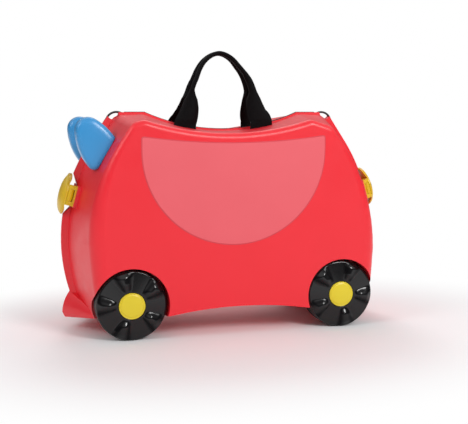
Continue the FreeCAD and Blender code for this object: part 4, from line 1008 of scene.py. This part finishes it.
deselect_all()
bpy.ops.mesh.primitive_plane_add(size=FLOOR_SIZE)
floor = bpy.context.object
floor.name = "floor"
paper = bpy.data.materials.new("floor_paper")
paper.use_nodes = True
paper_tree = paper.node_tree
paper_tree.nodes.clear()
spot = add_node(paper_tree, "ShaderNodeTexCoord")
squash = add_node(paper_tree, "ShaderNodeMapping", FADE_PLACE)
far_off = add_node(paper_tree, "ShaderNodeVectorMath", operation="LENGTH")
fade = add_node(paper_tree, "ShaderNodeMapRange", {"From Min": FADE_START, "From Max": FADE_END},
                interpolation_type="SMOOTHSTEP")
rays = add_node(paper_tree, "ShaderNodeLightPath")
seen = add_node(paper_tree, "ShaderNodeMath", operation="MAXIMUM")
seen_through = add_node(paper_tree, "ShaderNodeMath", operation="MAXIMUM")
white_share = add_node(paper_tree, "ShaderNodeMath", operation="MULTIPLY")
matt = add_node(paper_tree, "ShaderNodeBsdfDiffuse", {"Color": PAPER_COLOUR})
glow = add_node(paper_tree, "ShaderNodeEmission", {"Color": WHITE, "Strength": 1.0})
blend = add_node(paper_tree, "ShaderNodeMixShader")
surface = add_node(paper_tree, "ShaderNodeOutputMaterial")
for start, end in (
        (spot.outputs["Object"], squash.inputs["Vector"]), (squash.outputs["Vector"], far_off.inputs[0]),
        (far_off.outputs["Value"], fade.inputs["Value"]),
        (rays.outputs["Is Camera Ray"], seen.inputs[0]), (rays.outputs["Is Glossy Ray"], seen.inputs[1]),
        (seen.outputs["Value"], seen_through.inputs[0]),
        (rays.outputs["Is Transmission Ray"], seen_through.inputs[1]),
        (seen_through.outputs["Value"], white_share.inputs[0]),
        (fade.outputs["Result"], white_share.inputs[1]),
        (white_share.outputs["Value"], blend.inputs["Fac"]), (matt.outputs["BSDF"], blend.inputs[1]),
        (glow.outputs["Emission"], blend.inputs[2]), (blend.outputs["Shader"], surface.inputs["Surface"])):
    paper_tree.links.new(start, end)
dress(floor, paper)
print("floor:", FLOOR_SIZE, "m wide, fading from", FADE_START, "m on")

# %% [markdown]
# The world is white to the camera. A reflection finds it dark near the horizon and white higher up, as
# in a room with a lit ceiling, and that gives the shell its shading. The soft light that it throws has
# a level of its own.

# %% World
SKY_LEVEL = 0.5
ROOM_LEVEL = 0.12
CEILING_START = 0.2
CEILING_END = 0.55

world = bpy.data.worlds.new("studio")
bpy.context.scene.world = world
world.use_nodes = True
sky_tree = world.node_tree
sky = sky_tree.nodes["Background"]
sky.inputs["Color"].default_value = WHITE
sky_rays = add_node(sky_tree, "ShaderNodeLightPath")
direction = add_node(sky_tree, "ShaderNodeTexCoord")
parts = add_node(sky_tree, "ShaderNodeSeparateXYZ")
backdrop_levels = {"From Min": CEILING_START, "From Max": CEILING_END, "To Min": ROOM_LEVEL}
backdrop = add_node(sky_tree, "ShaderNodeMapRange", backdrop_levels, interpolation_type="SMOOTHSTEP")
mirrored = add_node(sky_tree, "ShaderNodeMath", operation="MAXIMUM")
soft_or_mirrored = add_node(sky_tree, "ShaderNodeMix", data_type="FLOAT")
soft_or_mirrored.inputs["A"].default_value = SKY_LEVEL
sky_level = add_node(sky_tree, "ShaderNodeMath", operation="MAXIMUM")
for start, end in (
        (direction.outputs["Generated"], parts.inputs["Vector"]),
        (parts.outputs["Z"], backdrop.inputs["Value"]),
        (sky_rays.outputs["Is Glossy Ray"], mirrored.inputs[0]),
        (sky_rays.outputs["Is Transmission Ray"], mirrored.inputs[1]),
        (mirrored.outputs["Value"], soft_or_mirrored.inputs["Factor"]),
        (backdrop.outputs["Result"], soft_or_mirrored.inputs["B"]),
        (soft_or_mirrored.outputs["Result"], sky_level.inputs[0]),
        (sky_rays.outputs["Is Camera Ray"], sky_level.inputs[1]),
        (sky_level.outputs["Value"], sky.inputs["Strength"])):
    sky_tree.links.new(start, end)
print("world ready, soft light at", SKY_LEVEL)

# %% [markdown]
# Four soft lamps do the rest: one in front, one at the front end of the case, one high behind it and a
# low one behind, which lights the far side and shows in no reflection. Each row gives a lamp's name,
# place, width in metres and power in watts.

# %% Lamps
LAMPS = (
    ("key", (0.8, -1.7, 1.2), 0.7, 22.0),
    ("end", (-1.7, -0.7, 1.35), 0.9, 8.5),
    ("back", (0.3, 1.2, 1.9), 1.4, 6.0),
    ("low_back", (0.1, 1.6, 0.5), 0.9, 15.0),
)
LAMP_TARGET = Vector((0.0, 0.0, 0.17))

for name, place, size, power in LAMPS:
    lamp = bpy.data.lights.new(name, "AREA")
    lamp.shape = "DISK"
    lamp.size = size
    lamp.energy = power
    holder = bpy.data.objects.new(name + "_lamp", lamp)
    holder.location = place
    holder.visible_glossy = name != "low_back"
    holder.rotation_euler = (LAMP_TARGET - Vector(place)).to_track_quat("-Z", "Y").to_euler()
    bpy.context.scene.collection.objects.link(holder)
bpy.context.scene.view_settings.view_transform = "Standard"
print("lamps:", len(LAMPS))
